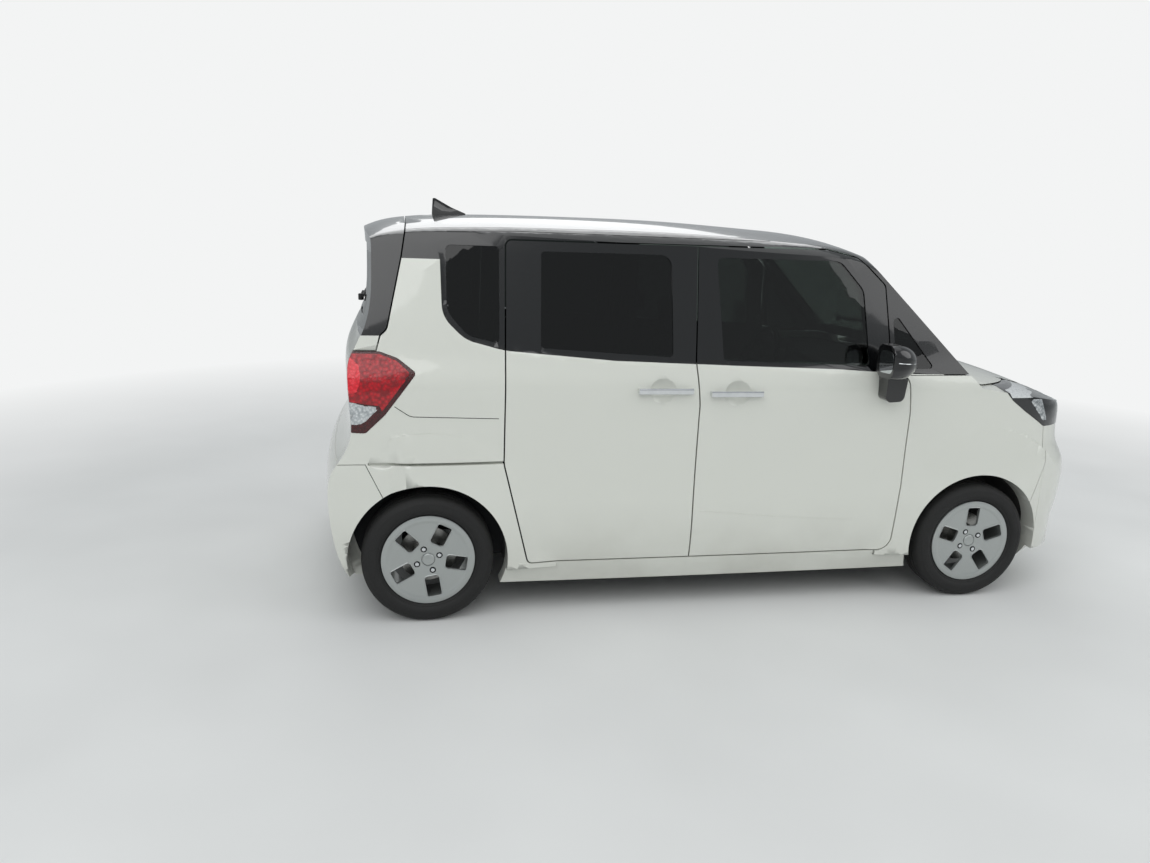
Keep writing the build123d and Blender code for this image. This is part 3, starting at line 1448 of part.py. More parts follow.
# Steering wheel, drawn flat and then moved to its column
with BuildPart() as steering_wheel:
    Torus(STEERING_RADIUS, STEERING_RIM)
    with Locations((0, 0, -HUB_DROP)):
        Cylinder(HUB_RADIUS, HUB_HEIGHT)
    for spoke_angle in (0, 180, 90):
        with BuildSketch(Plane.XY.offset(-HUB_DROP - 2)):
            with Locations(Rotation(0, 0, spoke_angle)):
                with Locations(((STEERING_RADIUS + SPOKE_ROOT) / 2, 0)):
                    Rectangle(STEERING_RADIUS - SPOKE_ROOT, SPOKE_WIDTH)
        extrude(amount=SPOKE_THICKNESS)
finish(steering_wheel.part.moved(column_plane.location), "steering_wheel")


def pad(outline, middle, width):
    """A plain pad with the outline as its side view."""
    return side_block(outline, 0, -middle - width / 2, -middle + width / 2, -1)


def posts(place, middle):
    """The two posts of one headrest."""
    ahead, low, high = place
    with BuildPart() as pair:
        for spread in (-POST_SPREAD, POST_SPREAD):
            add(rod_up(mid_x + ahead, middle + spread, POST_RADIUS, low, high))
    return pair.part


# Seats
with BuildPart() as front_seats:
    for side in (-1, 1):
        add(pad(FRONT_SEAT, side * FRONT_SEAT_Y, FRONT_SEAT_WIDTH))
        add(pad(FRONT_HEADREST, side * FRONT_SEAT_Y, HEADREST_WIDTH))
        add(posts(FRONT_POST, side * FRONT_SEAT_Y))
finish(front_seats.part, "front_seats")
with BuildPart() as rear_seat:
    add(pad(REAR_BENCH, 0, BENCH_WIDTH))
    for side in (-1, 1):
        add(pad(REAR_HEADREST, side * BENCH_REST_Y, HEADREST_WIDTH))
        add(posts(REAR_POST, side * BENCH_REST_Y))
finish(rear_seat.part, "rear_seat")

# Door mirrors, each a loft through three rounded sections on a foot that meets the door
with BuildPart() as mirror_head:
    for ahead, middle, up, width, height, radius in MIRROR_SECTIONS:
        with BuildSketch(Plane.YZ.offset(mid_x + ahead)):
            with Locations((middle, up)):
                RectangleRounded(width, height, radius)
    loft()
with BuildPart() as door_mirror:
    add(side_block(MIRROR_FOOT, 0, *MIRROR_FOOT_Y, -1))
    add(mirror_head.part)
    add(body_form(-SEAT, 0), mode=Mode.SUBTRACT)
finish_pair(door_mirror.part, "mirror")


# Wheels: rim with its brake disc, and tyre
def rim(side, turned):
    """The rim of one wheel, at the origin with its outer face to one side and its first window turned up."""
    reach = RIM_WIDTH / 2
    lip = reach + RIM_LIP_THICKNESS
    barrel = BEAD_RADIUS - SEAT
    well = barrel - RIM_BARREL
    bore = SPINDLE_RADIUS + SPINDLE_CLEARANCE
    spindle_end = SPINDLE_END_Y - wheel_y + 2
    disc_inner, disc_outer = DISC_SPAN
    window_radius = (WINDOW_INNER_RADIUS + WINDOW_OUTER_RADIUS) / 2
    # Columns: radius, distance outwards from the middle of the tyre.
    profile = (
        (bore, disc_inner),
        (DISC_RADIUS, disc_inner),
        (DISC_RADIUS, disc_outer),
        (RIM_HUB_RADIUS, disc_outer),
        (RIM_HUB_RADIUS, RIM_FACE_INNER),
        (well, RIM_FACE_INNER),
        (well, -lip),
        (RIM_LIP_RADIUS, -lip),
        (RIM_LIP_RADIUS, -reach),
        (barrel, -reach),
        (barrel, reach),
        (RIM_LIP_RADIUS, reach),
        (RIM_LIP_RADIUS, lip),
        (well + 2, lip),
        (well - RIM_FACE_DISH, RIM_FACE_OUTER),
        (RIM_HUB_RADIUS - RIM_HUB_RECESS, RIM_FACE_OUTER),
        (0, RIM_FACE_OUTER),
        (0, spindle_end),
        (bore, spindle_end),
    )
    with BuildPart() as wheel:
        with BuildSketch(Plane.XY):
            with BuildLine():
                Polyline(*[(radius, side * along) for radius, along in profile], close=True)
            make_face()
        revolve(axis=Axis.Y)
        with BuildSketch(Plane.XZ.offset(-side * (RIM_FACE_INNER - ROOT))):
            with PolarLocations(window_radius, WINDOW_COUNT, start_angle=turned):
                RectangleRounded(WINDOW_OUTER_RADIUS - WINDOW_INNER_RADIUS, WINDOW_WIDTH, WINDOW_CORNER)
        extrude(amount=-side * RIM_WIDTH / 2, mode=Mode.SUBTRACT)
        with BuildSketch(Plane.XZ.offset(-side * (RIM_FACE_OUTER - BOLT_POCKET_DEPTH))):
            with PolarLocations(BOLT_CIRCLE / 2, BOLT_COUNT, start_angle=turned + BOLT_START):
                Circle(BOLT_POCKET_RADIUS)
        extrude(amount=-side * 2 * BOLT_POCKET_DEPTH, mode=Mode.SUBTRACT)
    return wheel.part


def tyre():
    """One tyre, standing at the origin: beads, bulging sidewalls, shoulders and a crowned tread."""
    bead = RIM_WIDTH / 2 - SEAT
    half = TYRE_WIDTH / 2
    foot = (RIM_LIP_RADIUS + 2, bead)
    bulge = (SIDEWALL_RADIUS, half)
    shoulder = (SHOULDER_RADIUS, half - SHOULDER_INSET)
    edge = (TYRE_RADIUS - TREAD_CROWN, TREAD_WIDTH / 2)
    with BuildPart() as ring:
        with BuildSketch(Plane.XY):
            with BuildLine():
                Line((BEAD_RADIUS, bead), foot)
                ThreePointArc(foot, bulge, shoulder)
                Line(shoulder, edge)
                ThreePointArc(edge, (TYRE_RADIUS, 0), (edge[0], -edge[1]))
                Line((edge[0], -edge[1]), (shoulder[0], -shoulder[1]))
                ThreePointArc((shoulder[0], -shoulder[1]), (bulge[0], -bulge[1]), (foot[0], -foot[1]))
                Line((foot[0], -foot[1]), (BEAD_RADIUS, -bead))
                Line((BEAD_RADIUS, -bead), (BEAD_RADIUS, bead))
            make_face()
        revolve(axis=Axis.Y)
    return ring.part


for end_name, axle_x in (("front", front_axle_x), ("rear", rear_axle_x)):
    for side_name, side in (("right", -1), ("left", 1)):
        place = Location((axle_x, side * wheel_y, TYRE_RADIUS))
        finish(rim(side, WINDOW_START[end_name]).moved(place), f"rim_{end_name}_{side_name}")
        finish(tyre().moved(place), f"tyre_{end_name}_{side_name}")
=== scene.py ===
# %% [markdown]
# # A two-tone city car, dressed in Blender
# The car is a tall, boxy five-seater with a sliding door on its right side. Its body is white up to the
# window line, and its pillars and roof are gloss black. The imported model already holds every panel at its
# real size, so this lesson loads it as a fixed frame and adds what the eye looks for: paint, glass, lamps,
# wheels and trim.

import json
from math import atan2, cos, pi, radians, sin, tan

import bpy
from mathutils import Matrix, Vector

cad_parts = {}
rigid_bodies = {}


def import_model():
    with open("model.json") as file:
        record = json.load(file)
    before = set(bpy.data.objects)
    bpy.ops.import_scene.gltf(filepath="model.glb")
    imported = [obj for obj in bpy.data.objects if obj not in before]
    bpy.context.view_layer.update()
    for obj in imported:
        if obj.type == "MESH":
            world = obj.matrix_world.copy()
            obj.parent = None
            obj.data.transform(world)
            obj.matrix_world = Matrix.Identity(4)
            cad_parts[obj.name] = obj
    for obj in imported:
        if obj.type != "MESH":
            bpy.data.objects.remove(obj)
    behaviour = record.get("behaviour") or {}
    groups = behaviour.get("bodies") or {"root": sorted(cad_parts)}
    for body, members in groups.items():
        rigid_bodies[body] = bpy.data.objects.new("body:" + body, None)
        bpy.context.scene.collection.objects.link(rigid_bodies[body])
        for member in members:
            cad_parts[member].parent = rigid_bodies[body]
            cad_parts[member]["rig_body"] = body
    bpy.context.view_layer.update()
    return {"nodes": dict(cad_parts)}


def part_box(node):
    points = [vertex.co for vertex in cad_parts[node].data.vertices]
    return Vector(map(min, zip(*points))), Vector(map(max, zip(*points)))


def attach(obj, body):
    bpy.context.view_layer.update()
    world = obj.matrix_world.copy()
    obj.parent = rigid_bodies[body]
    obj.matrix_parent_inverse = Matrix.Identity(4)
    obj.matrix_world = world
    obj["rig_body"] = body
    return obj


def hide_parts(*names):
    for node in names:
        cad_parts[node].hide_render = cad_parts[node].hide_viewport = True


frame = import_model()
nodes = frame["nodes"]

# %% [markdown]
# Every size below is in millimetres, measured ahead of the middle of the wheelbase, to the left, and up
# from the ground. The wheels of the frame say where that middle is, so the dressing follows the car if the
# car changes.

# %% Find the wheels and the middle of the wheelbase
MM = 0.001
front_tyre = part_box("tyre_front_right")
rear_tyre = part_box("tyre_rear_right")
FRONT_AXLE = (front_tyre[0].x + front_tyre[1].x) / 2 / MM
REAR_AXLE = (rear_tyre[0].x + rear_tyre[1].x) / 2 / MM
MIDDLE = (FRONT_AXLE + REAR_AXLE) / 2
WHEEL_Y = abs(front_tyre[0].y + front_tyre[1].y) / 2 / MM
TYRE_RADIUS = (front_tyre[1].z - front_tyre[0].z) / 2 / MM
AXLE_Z = (front_tyre[1].z + front_tyre[0].z) / 2 / MM
SIDES = {"right": -1, "left": 1}
print("axles at", round(FRONT_AXLE), "and", round(REAR_AXLE), "mm, wheels out to", round(WHEEL_Y), "mm")


def spot(ahead, left, up):
    """A point in metres from its millimetres ahead of mid-wheelbase, to the left and up."""
    return Vector(((MIDDLE + ahead) * MM, left * MM, up * MM))


# %% [markdown]
# ## The tools of the lesson
# Pieces are made as by hand: a primitive goes in at its place, is shaped in edit mode, and gets its
# modifiers applied. A handful of short helpers keep that readable: one starts a piece, one draws an outline
# point by point with the extrude operator, one spins it and one pulls it into a plate.

# %% Start, pick and finish a piece
def edit_mode():
    """Goes into edit mode with the whole mesh selected."""
    bpy.ops.object.mode_set(mode="EDIT")
    select_mesh()


def object_mode():
    """Goes back to object mode."""
    bpy.ops.object.mode_set(mode="OBJECT")


def select_mesh():
    """Selects the whole mesh in edit mode."""
    bpy.ops.mesh.select_all(action="SELECT")


def deselect():
    """Leaves edit mode, if it is on, with nothing selected."""
    if bpy.context.object and bpy.context.object.mode != "OBJECT":
        object_mode()
    bpy.ops.object.select_all(action="DESELECT")


def choose(piece):
    """Makes one piece the only selected and active one."""
    deselect()
    piece.select_set(True)
    bpy.context.view_layer.objects.active = piece


def settle(piece, name, material, body, angle=32):
    """Ends a piece: its place goes into its mesh, and it gets its name, shading, finish and body."""
    choose(piece)
    bpy.ops.object.transform_apply(location=True, rotation=True, scale=True)
    if angle:
        bpy.ops.object.shade_smooth_by_angle(angle=radians(angle))
    piece.name = piece.data.name = name
    if material:
        piece.data.materials.clear()
        piece.data.materials.append(material)
    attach(piece, body)
    return piece


def modify(piece, kind, **settings):
    """Adds one modifier and applies it."""
    choose(piece)
    modifier = piece.modifiers.new(kind.title(), kind)
    for setting, value in settings.items():
        setattr(modifier, setting, value)
    bpy.ops.object.modifier_apply(modifier=modifier.name)
    return piece


# %% Draw an outline, pull it, spin it
def draw(points, closed=True):
    """Draws edges through the points with the extrude operator, and fills a closed line."""
    deselect()
    bpy.ops.mesh.primitive_plane_add(size=0.01, location=(0, 0, 0))
    piece = bpy.context.object
    edit_mode()
    bpy.ops.mesh.merge(type="CENTER")
    bpy.ops.transform.translate(value=points[0])
    for start, end in zip(points, points[1:]):
        bpy.ops.mesh.extrude_region_move(TRANSFORM_OT_translate={"value": end - start})
    if closed:
        select_mesh()
        bpy.ops.mesh.edge_face_add()
    return piece


def pull(points, way):
    """A plate: the outline, filled and extruded along a vector."""
    piece = draw(points)
    bpy.ops.mesh.extrude_region_move(TRANSFORM_OT_translate={"value": way})
    select_mesh()
    bpy.ops.mesh.normals_make_consistent(inside=False)
    object_mode()
    return piece


def turn(points, centre, axis, steps=64):
    """A turned piece: the outline spun once round an axis."""
    piece = draw(points, closed=False)
    select_mesh()
    bpy.ops.mesh.spin(steps=steps, angle=2 * pi, center=centre, axis=axis)
    select_mesh()
    bpy.ops.mesh.remove_doubles(threshold=1e-5)
    bpy.ops.mesh.normals_make_consistent(inside=False)
    object_mode()
    return piece


def rod(points, radius, sides=3, closed=False):
    """A round bar as a mesh: along a smooth line through the points, or round a closed ring of them."""
    deselect()
    bpy.ops.curve.primitive_bezier_curve_add()
    line = bpy.context.object
    curve = line.data
    curve.splines.clear()
    spline = curve.splines.new("POLY" if closed else "NURBS")
    spline.use_cyclic_u = closed
    spline.points.add(len(points) - 1)
    for point, place in zip(spline.points, points):
        point.co = (*place, 1)
    spline.order_u = 3
    spline.use_endpoint_u = True
    curve.bevel_depth = radius
    curve.bevel_resolution = sides
    curve.use_fill_caps = True
    curve.resolution_u = 6
    bpy.ops.object.convert(target="MESH")
    return bpy.context.object


def box(centre, size, bevel=0, segments=3):
    """A block with its edges rounded by the bevel operator."""
    deselect()
    bpy.ops.mesh.primitive_cube_add(size=1, location=centre)
    piece = bpy.context.object
    piece.scale = size
    bpy.ops.object.transform_apply(location=True, rotation=True, scale=True)
    if bevel:
        edit_mode()
        bpy.ops.mesh.bevel(offset=bevel, segments=segments, affect="EDGES")
        object_mode()
    return piece


def cut(piece, tool, operation="DIFFERENCE"):
    """Cuts a piece with another, or keeps only what both share, and removes the tool."""
    modify(piece, "BOOLEAN", operation=operation, object=tool, solver="EXACT")
    bpy.data.objects.remove(tool)
    return piece


def join(pieces):
    """Joins pieces into the first, with their places in its mesh."""
    deselect()
    for piece in pieces:
        piece.select_set(True)
    bpy.context.view_layer.objects.active = pieces[0]
    bpy.ops.object.join()
    bpy.ops.object.transform_apply(location=True, rotation=True, scale=True)
    return pieces[0]


def copy_to(piece, matrix):
    """A copy of a piece with its own mesh, moved by a matrix."""
    twin = piece.copy()
    twin.data = piece.data.copy()
    bpy.context.collection.objects.link(twin)
    twin.data.transform(matrix)
    if matrix.determinant() < 0:
        twin.data.flip_normals()
    return twin


MIRROR = Matrix.Scale(-1, 4, (0, 1, 0))

# %% [markdown]
# ## Finishes
# A finish is a small tree of nodes: coordinates, a pattern or two, and the shader. One function adds a
# node, and one starts a material, so that each recipe reads as a list of what the real surface is.

# %% Colours and nodes
def shade(code):
    """A linear colour from its sRGB hex code."""
    channels = [int(code[i:i + 2], 16) / 255 for i in (1, 3, 5)]
    return (*[c / 12.92 if c <= 0.04045 else ((c + 0.055) / 1.055) ** 2.4 for c in channels], 1)


def add_node(tree, kind, sockets=None, **settings):
    """Adds one shader node: sockets are values or links, settings are its properties."""
    made = tree.nodes.new("ShaderNode" + kind)
    for setting, value in settings.items():
        setattr(made, setting, value)
    for socket, value in (sockets or {}).items():
        if isinstance(value, bpy.types.NodeSocket):
            tree.links.new(value, made.inputs[socket])
        else:
            made.inputs[socket].default_value = value
    return made


def start_material(name, **look):
    """A material with one principled shader, its constants set on the shader's own sockets."""
    material = bpy.data.materials.new(name)
    material.use_nodes = True
    tree = material.node_tree
    tree.nodes.clear()
    shader = add_node(tree, "BsdfPrincipled", {key.replace("_", " "): value for key, value in look.items()})
    add_node(tree, "OutputMaterial", {"Surface": shader.outputs[0]})
    place = add_node(tree, "TexCoord").outputs["Object"]
    return material, tree, shader, place


def grain(tree, place, size_mm, detail=3):
    """A noise whose features are about this many millimetres wide."""
    sockets = {"Vector": place, "Scale": 1 / (size_mm * MM), "Detail": detail}
    return add_node(tree, "TexNoise", sockets).outputs[0]


def ramp(tree, factor, dark, light, low=0.3, high=0.7):
    """Two colours mixed by a pattern."""
    made = add_node(tree, "ValToRGB", {"Fac": factor})
    made.color_ramp.elements[0].position, made.color_ramp.elements[1].position = low, high
    made.color_ramp.elements[0].color, made.color_ramp.elements[1].color = shade(dark), shade(light)
    return made.outputs[0]


def span(tree, factor, low, high, start=0.0, end=1.0):
    """A pattern brought to another range."""
    sockets = {"Value": factor, "From Min": start, "From Max": end, "To Min": low, "To Max": high}
    return add_node(tree, "MapRange", sockets).outputs[0]


def raise_surface(tree, shader, height, depth_mm, strength=1.0):
    """Bump of a given depth on the shader."""
    bump = add_node(tree, "Bump", {"Height": height, "Distance": depth_mm * MM, "Strength": strength})
    tree.links.new(bump.outputs[0], shader.inputs["Normal"])


def plain_finish(name, dark, light, size_mm, rough=(0.4, 0.6), depth_mm=0.2, **look):
    """A finish of two close colours in a fine grain, with the grain in its roughness and its bump too."""
    material, tree, shader, place = start_material(name, **look)
    pattern = grain(tree, place, size_mm)
    tree.links.new(ramp(tree, pattern, dark, light), shader.inputs["Base Color"])
    tree.links.new(span(tree, pattern, *rough, 0.3, 0.7), shader.inputs["Roughness"])
    raise_surface(tree, shader, pattern, depth_mm, 0.5)
    return material


# %% [markdown]
# Car paint is a colour coat under a clear lacquer: the coat gives the sharp highlight, and the colour below
# stays soft. Towards the sill the colour is mixed, in patches, with painted shade that makes it darker and
# warmer, and the lacquer grows rougher there; a slight ripple of the lacquer keeps long reflections from
# looking like glass.

# %% Body paints
# How high the painted shade at the sills reaches, in millimetres
SILL_SHADING_TOP_MM = 520
RIPPLE_MM = 14


def paint(name, colour, sill_shading_colour, sill_shading_share, rough):
    """Lacquered body paint, with painted shade towards the sills that fades out above them, where the
    lacquer is rougher too.
    """
    look = {"Coat_Weight": 1.0, "Coat_Roughness": 0.04, "Coat_IOR": 1.5, "Specular_IOR_Level": 0.4}
    material, tree, shader, place = start_material(name, **look)
    height = add_node(tree, "SeparateXYZ", {"Vector": place}).outputs["Z"]
    # Painted shade at the sills: full low down, gone above its top height, broken into patches; it darkens
    # the colour and roughens the lacquer
    low_down = span(tree, height, 1, 0, 0.16, SILL_SHADING_TOP_MM * MM)
    patch = span(tree, grain(tree, place, 220, 5), 0.2, 1, 0.35, 0.7)
    sill_shading_amount = add_node(tree, "Math", {0: low_down, 1: patch}, operation="MULTIPLY").outputs[0]
    faint = add_node(tree, "Math", {0: sill_shading_amount, 1: sill_shading_share}, operation="MULTIPLY").outputs[0]
    mix = add_node(tree, "Mix", {0: faint, 6: shade(colour), 7: shade(sill_shading_colour)}, data_type="RGBA")
    tree.links.new(mix.outputs[2], shader.inputs["Base Color"])
    tree.links.new(span(tree, sill_shading_amount, rough, rough + 0.3), shader.inputs["Roughness"])
    raise_surface(tree, shader, grain(tree, place, RIPPLE_MM, 1), 0.02, 0.35)
    return material


# The second colour of each paint is its painted sill shading, darker and warmer on the white
white_paint = paint("lacquered_white_body_paint", "#D8DAD2", "#8F8C80", 0.28, 0.32)
black_paint = paint("lacquered_black_body_paint", "#07080A", "#3A3A38", 0.2, 0.2)

# %% [markdown]
# Window glass is solid here, so it gets a real glass shader. Only its shadow is let through, because a lamp
# shines into a cabin through the panes. The rear panes are privacy glass, tinted much deeper than those in
# front.

# %% Glass
GLASS_IOR, SMEAR_MM, SMEAR_ROUGHNESS = 1.5, 60, 0.04


def clear_solid(name, colour):
    """Glass with faint smears, whose shadow lets light by."""
    look = {"Base_Color": shade(colour), "IOR": GLASS_IOR, "Transmission_Weight": 1.0}
    material, tree, shader, place = start_material(name, **look)
    smears = grain(tree, place, SMEAR_MM, 4)
    tree.links.new(span(tree, smears, 0.0, SMEAR_ROUGHNESS, 0.45, 0.75), shader.inputs["Roughness"])
    shadow = add_node(tree, "LightPath").outputs["Is Shadow Ray"]
    through = add_node(tree, "BsdfTransparent", {"Color": shade(colour)})
    mix = add_node(tree, "MixShader", {0: shadow, 1: shader.outputs[0], 2: through.outputs[0]})
    output = next(one for one in tree.nodes if one.type == "OUTPUT_MATERIAL")
    tree.links.new(mix.outputs[0], output.inputs[0])
    return material


front_glass = clear_solid("tinted_safety_glass", "#7E8A84")
door_glass = clear_solid("tinted_door_glass", "#4C5450")
privacy_glass = clear_solid("dark_privacy_glass", "#1E2221")

# %% [markdown]
# Moulded plastic has a fine spark-eroded grain. Chrome on handles and lamp reflectors is a thin plated
# layer, so it mirrors with a little waviness. Rubber is nearly black and dull. Each recipe below is a
# two-colour grain with its own sizes, which is enough for parts that the eye meets only from a step away.

# %% Plastics, metals and rubber
black_plastic = plain_finish("grained_black_bumper_plastic", "#141516", "#1E1F20", 1.6, (0.45, 0.62), 0.15)
gloss_plastic = plain_finish(
    "polished_black_plastic", "#0B0C0D", "#101112", 30, (0.06, 0.14), 0.02, Coat_Weight=0.6
)
grey_plastic = plain_finish("grained_cabin_plastic", "#232426", "#2D2E30", 1.8, (0.5, 0.68), 0.2)
chrome = plain_finish("plated_chrome", "#D9DCDE", "#E8EAEC", 40, (0.04, 0.12), 0.03, Metallic=1.0)
rubber = plain_finish("moulded_black_rubber", "#0E0E0F", "#191919", 3, (0.65, 0.85), 0.2)
mirror_glass = plain_finish(
    "silvered_mirror_glass", "#C9CED0", "#D5D9DB", 90, (0.01, 0.03), 0.0, Metallic=1.0
)
headliner = plain_finish("woven_headliner", "#8E8F8C", "#A2A29E", 2.5, (0.85, 0.95), 0.3)
carpet = plain_finish("tufted_floor_carpet", "#1B1C1E", "#2A2B2D", 5, (0.9, 1.0), 1.2)
underseal = plain_finish("sprayed_underbody_sealant", "#222324", "#34332F", 12, (0.7, 0.9), 0.8)
chassis_black = plain_finish("black_stoved_chassis_paint", "#131415", "#222120", 25, (0.4, 0.6), 0.2)
cast_iron = plain_finish("weathered_cast_iron", "#3C3935", "#5A5048", 6, (0.6, 0.8), 0.5, Metallic=0.7)
disc_steel = plain_finish(
    "ground_brake_disc_steel", "#8A8A88", "#A7A6A2", 4, (0.25, 0.4), 0.05, Metallic=1.0
)
engine_alloy = plain_finish(
    "sand_cast_engine_alloy", "#6F7274", "#8B8D8E", 3, (0.5, 0.7), 0.4, Metallic=0.8
)
exhaust_steel = plain_finish(
    "heat_stained_exhaust_steel", "#5E564C", "#8B867E", 45, (0.35, 0.6), 0.2, Metallic=0.9
)
radiator_alloy = plain_finish(
    "finned_radiator_alloy", "#25282A", "#3A3D3F", 2, (0.5, 0.7), 0.5, Metallic=0.5
)
silver_alloy = plain_finish(
    "silver_painted_wheel_alloy", "#A3A7A6", "#B4B8B6", 0.6, (0.28, 0.36), 0.01,
    Metallic=0.7, Coat_Weight=0.7, Coat_Roughness=0.1,
)
tyre_rubber = plain_finish("tyre_side_rubber", "#111112", "#1C1C1B", 4, (0.62, 0.82), 0.15)
plate_white = plain_finish("reflective_plate_sheet", "#E4E5E0", "#EEEFEA", 2, (0.35, 0.5), 0.03)
print(len(bpy.data.materials), "finishes so far")

# %% [markdown]
# ## Camera, light and floor
# The picture was taken from 4.4 m to the car's right with a wide lens, a little above the roof line and
# slightly rolled. One plain camera stands near that place, with the turn and lens that bring the wheels,
# belt line and roof to where they stand in the photograph. Four large soft lamps and a pale world light
# the car evenly.

# %% Stand the camera
CAMERA_AHEAD, CAMERA_LEFT, CAMERA_UP = -1369, -4353, 1725
CAMERA_YAW, CAMERA_PITCH, CAMERA_ROLL = 11.26, -13.82, 2.19
CAMERA_LENS = 28.27

camera = bpy.data.objects.new("camera", bpy.data.cameras.new("camera"))
bpy.context.collection.objects.link(camera)
camera.location = spot(CAMERA_AHEAD, CAMERA_LEFT, CAMERA_UP)
aim = Vector((sin(radians(CAMERA_YAW)), cos(radians(CAMERA_YAW)), tan(radians(CAMERA_PITCH))))
aim.normalize()
roll = Matrix.Rotation(radians(CAMERA_ROLL), 4, "Z")
camera.rotation_euler = (aim.to_track_quat("-Z", "Y").to_matrix().to_4x4() @ roll).to_euler()
camera.data.lens = CAMERA_LENS
bpy.context.scene.camera = camera
bpy.context.scene.view_settings.view_transform = "Standard"
print("camera looks along", [round(value, 3) for value in aim])

# %% Lay the floor and hang the lamps
FLOOR_SIZE = 60.0
# Columns: name, place in metres, diameter in metres, power in watts
LAMPS = (
    ("key", (-3.5, -6.0, 6.5), 9.0, 320),
    ("fill", (5.5, -4.0, 4.5), 6.5, 130),
    ("back", (0.5, 6.5, 6.5), 9.0, 210),
    ("top", (0.0, 0.0, 7.5), 9.0, 90),
)

deselect()
bpy.ops.mesh.primitive_plane_add(size=FLOOR_SIZE, location=(0, 0, 0))
floor = bpy.context.object
floor.name = "studio_floor"

FADE_START, FADE_END = 3.4, 6.5
FLOOR_GRAIN_MM = 900
BACKGROUND = "#F3F4F4"


def seen_directly(tree):
    """One for what the camera sees, also through glass, and none for light that falls on the car."""
    ray = add_node(tree, "LightPath")
    rays = {0: ray.outputs["Is Camera Ray"], 1: ray.outputs["Is Transmission Ray"]}
    return add_node(tree, "Math", rays, operation="MAXIMUM").outputs[0]



floor_paint = bpy.data.materials.new("pale_studio_floor")
floor_paint.use_nodes = True
tree = floor_paint.node_tree
tree.nodes.clear()
place = add_node(tree, "TexCoord").outputs["Object"]
cloudy = ramp(tree, grain(tree, place, FLOOR_GRAIN_MM, 2), "#DCDDDC", "#E2E3E2")
matt = add_node(tree, "BsdfDiffuse", {"Color": cloudy})
away = add_node(tree, "VectorMath", {0: place}, operation="LENGTH").outputs["Value"]
far = span(tree, away, 0, 1, FADE_START, FADE_END)
faded = add_node(tree, "Math", {0: far, 1: seen_directly(tree)}, operation="MULTIPLY")
backdrop = add_node(tree, "Emission", {"Color": shade(BACKGROUND)})
mix = add_node(tree, "MixShader", {0: faded.outputs[0], 1: matt.outputs[0], 2: backdrop.outputs[0]})
add_node(tree, "OutputMaterial", {"Surface": mix.outputs[0]})
floor.data.materials.append(floor_paint)

world = bpy.context.scene.world or bpy.data.worlds.new("studio")
bpy.context.scene.world = world
world.use_nodes = True
tree = world.node_tree
tree.nodes.clear()
white = add_node(tree, "Background", {"Color": shade(BACKGROUND), "Strength": 1.0})
dim = add_node(tree, "Background", {"Color": shade("#D5DADD"), "Strength": 0.55})
sky = add_node(tree, "MixShader", {0: seen_directly(tree), 1: dim.outputs[0], 2: white.outputs[0]})
add_node(tree, "OutputWorld", {"Surface": sky.outputs[0]})

for name, place, size, power in LAMPS:
    lamp = bpy.data.objects.new(name + "_lamp", bpy.data.lights.new(name, "AREA"))
    lamp.data.shape, lamp.data.size, lamp.data.energy = "DISK", size, power
    lamp.location = place
    lamp.visible_camera = False
    lamp.rotation_euler = (Vector((0, 0, 0.8)) - Vector(place)).to_track_quat("-Z", "Y").to_euler()
    bpy.context.collection.objects.link(lamp)
print(len(LAMPS), "lamps over a floor of", FLOOR_SIZE, "m")

# %% [markdown]
# ## The body panels
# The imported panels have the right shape, but their triangles are loose and shade flat. Each one is copied,
# its doubles are merged and it is shaded smooth up to a sharp edge, so lacquer reflects as on pressed
# steel. Faces are then sorted by place: white skin below the window line, black above it, and trim on what
# faces the cabin.

# %% The line between white and black
PAINT_LINE = (
    (2100, 0, 0), (2100, 1400, 0), (1152, 1400, 0), (1152, 1069, 0), (820, 1074, 0), (0, 1108, 0),
    (-500, 1124, 0), (-955, 1160, 0), (-1110, 1200, 150), (-1203, 1290, 120), (-1210, 1513, 0),
    (-1362, 1513, 0), (-1420, 1235, 40), (-1448, 1211, 20), (-2100, 1205, 0), (-2100, 0, 0),
)
CORNER_STEPS = 6
CABIN_REAR, CABIN_FRONT, CABIN_SIDE = -1620, 1010, 450
INWARD = -0.35


def rounded(outline):
    """The points of an outline whose third column is the radius of each corner."""
    points = []
    for index, (x, z, radius) in enumerate(outline):
        corner = Vector((x, z))
        if not radius:
            points.append(corner)
            continue
        before = (Vector(outline[index - 1][:2]) - corner).normalized()
        after = (Vector(outline[(index + 1) % len(outline)][:2]) - corner).normalized()
        half = before.angle(after) / 2
        centre = corner + (before + after).normalized() * radius / sin(half)
        start = corner + before * radius / tan(half) - centre
        sweep = start.angle_signed(corner + after * radius / tan(half) - centre)
        for step in range(CORNER_STEPS + 1):
            turned = Matrix.Rotation(-sweep * step / CORNER_STEPS, 2) @ start
            points.append(centre + turned)
    return points


def inside(outline, x, z):
    """True where a point of the side view lies inside the outline."""
    hit = False
    for (ax, az), (bx, bz) in zip(outline, outline[1:] + outline[:1]):
        if (az > z) != (bz > z) and x < (bx - ax) * (z - az) / (bz - az) + ax:
            hit = not hit
    return hit


paint_line = rounded(PAINT_LINE)


def side_colour(centre, normal):
    """0 for white paint, 1 for black paint, 2 for the trim that faces the cabin."""
    ahead, left, up = centre.x / MM - MIDDLE, centre.y / MM, centre.z / MM
    out = normal.y * (1 if left > 0 else -1)
    if abs(left) > CABIN_SIDE and out < INWARD and CABIN_REAR < ahead < CABIN_FRONT:
        return 2
    return 0 if inside(paint_line, ahead, up) else 1


# %% Copy a node as a smooth skin
MERGE_MM = 0.02
skins = {}


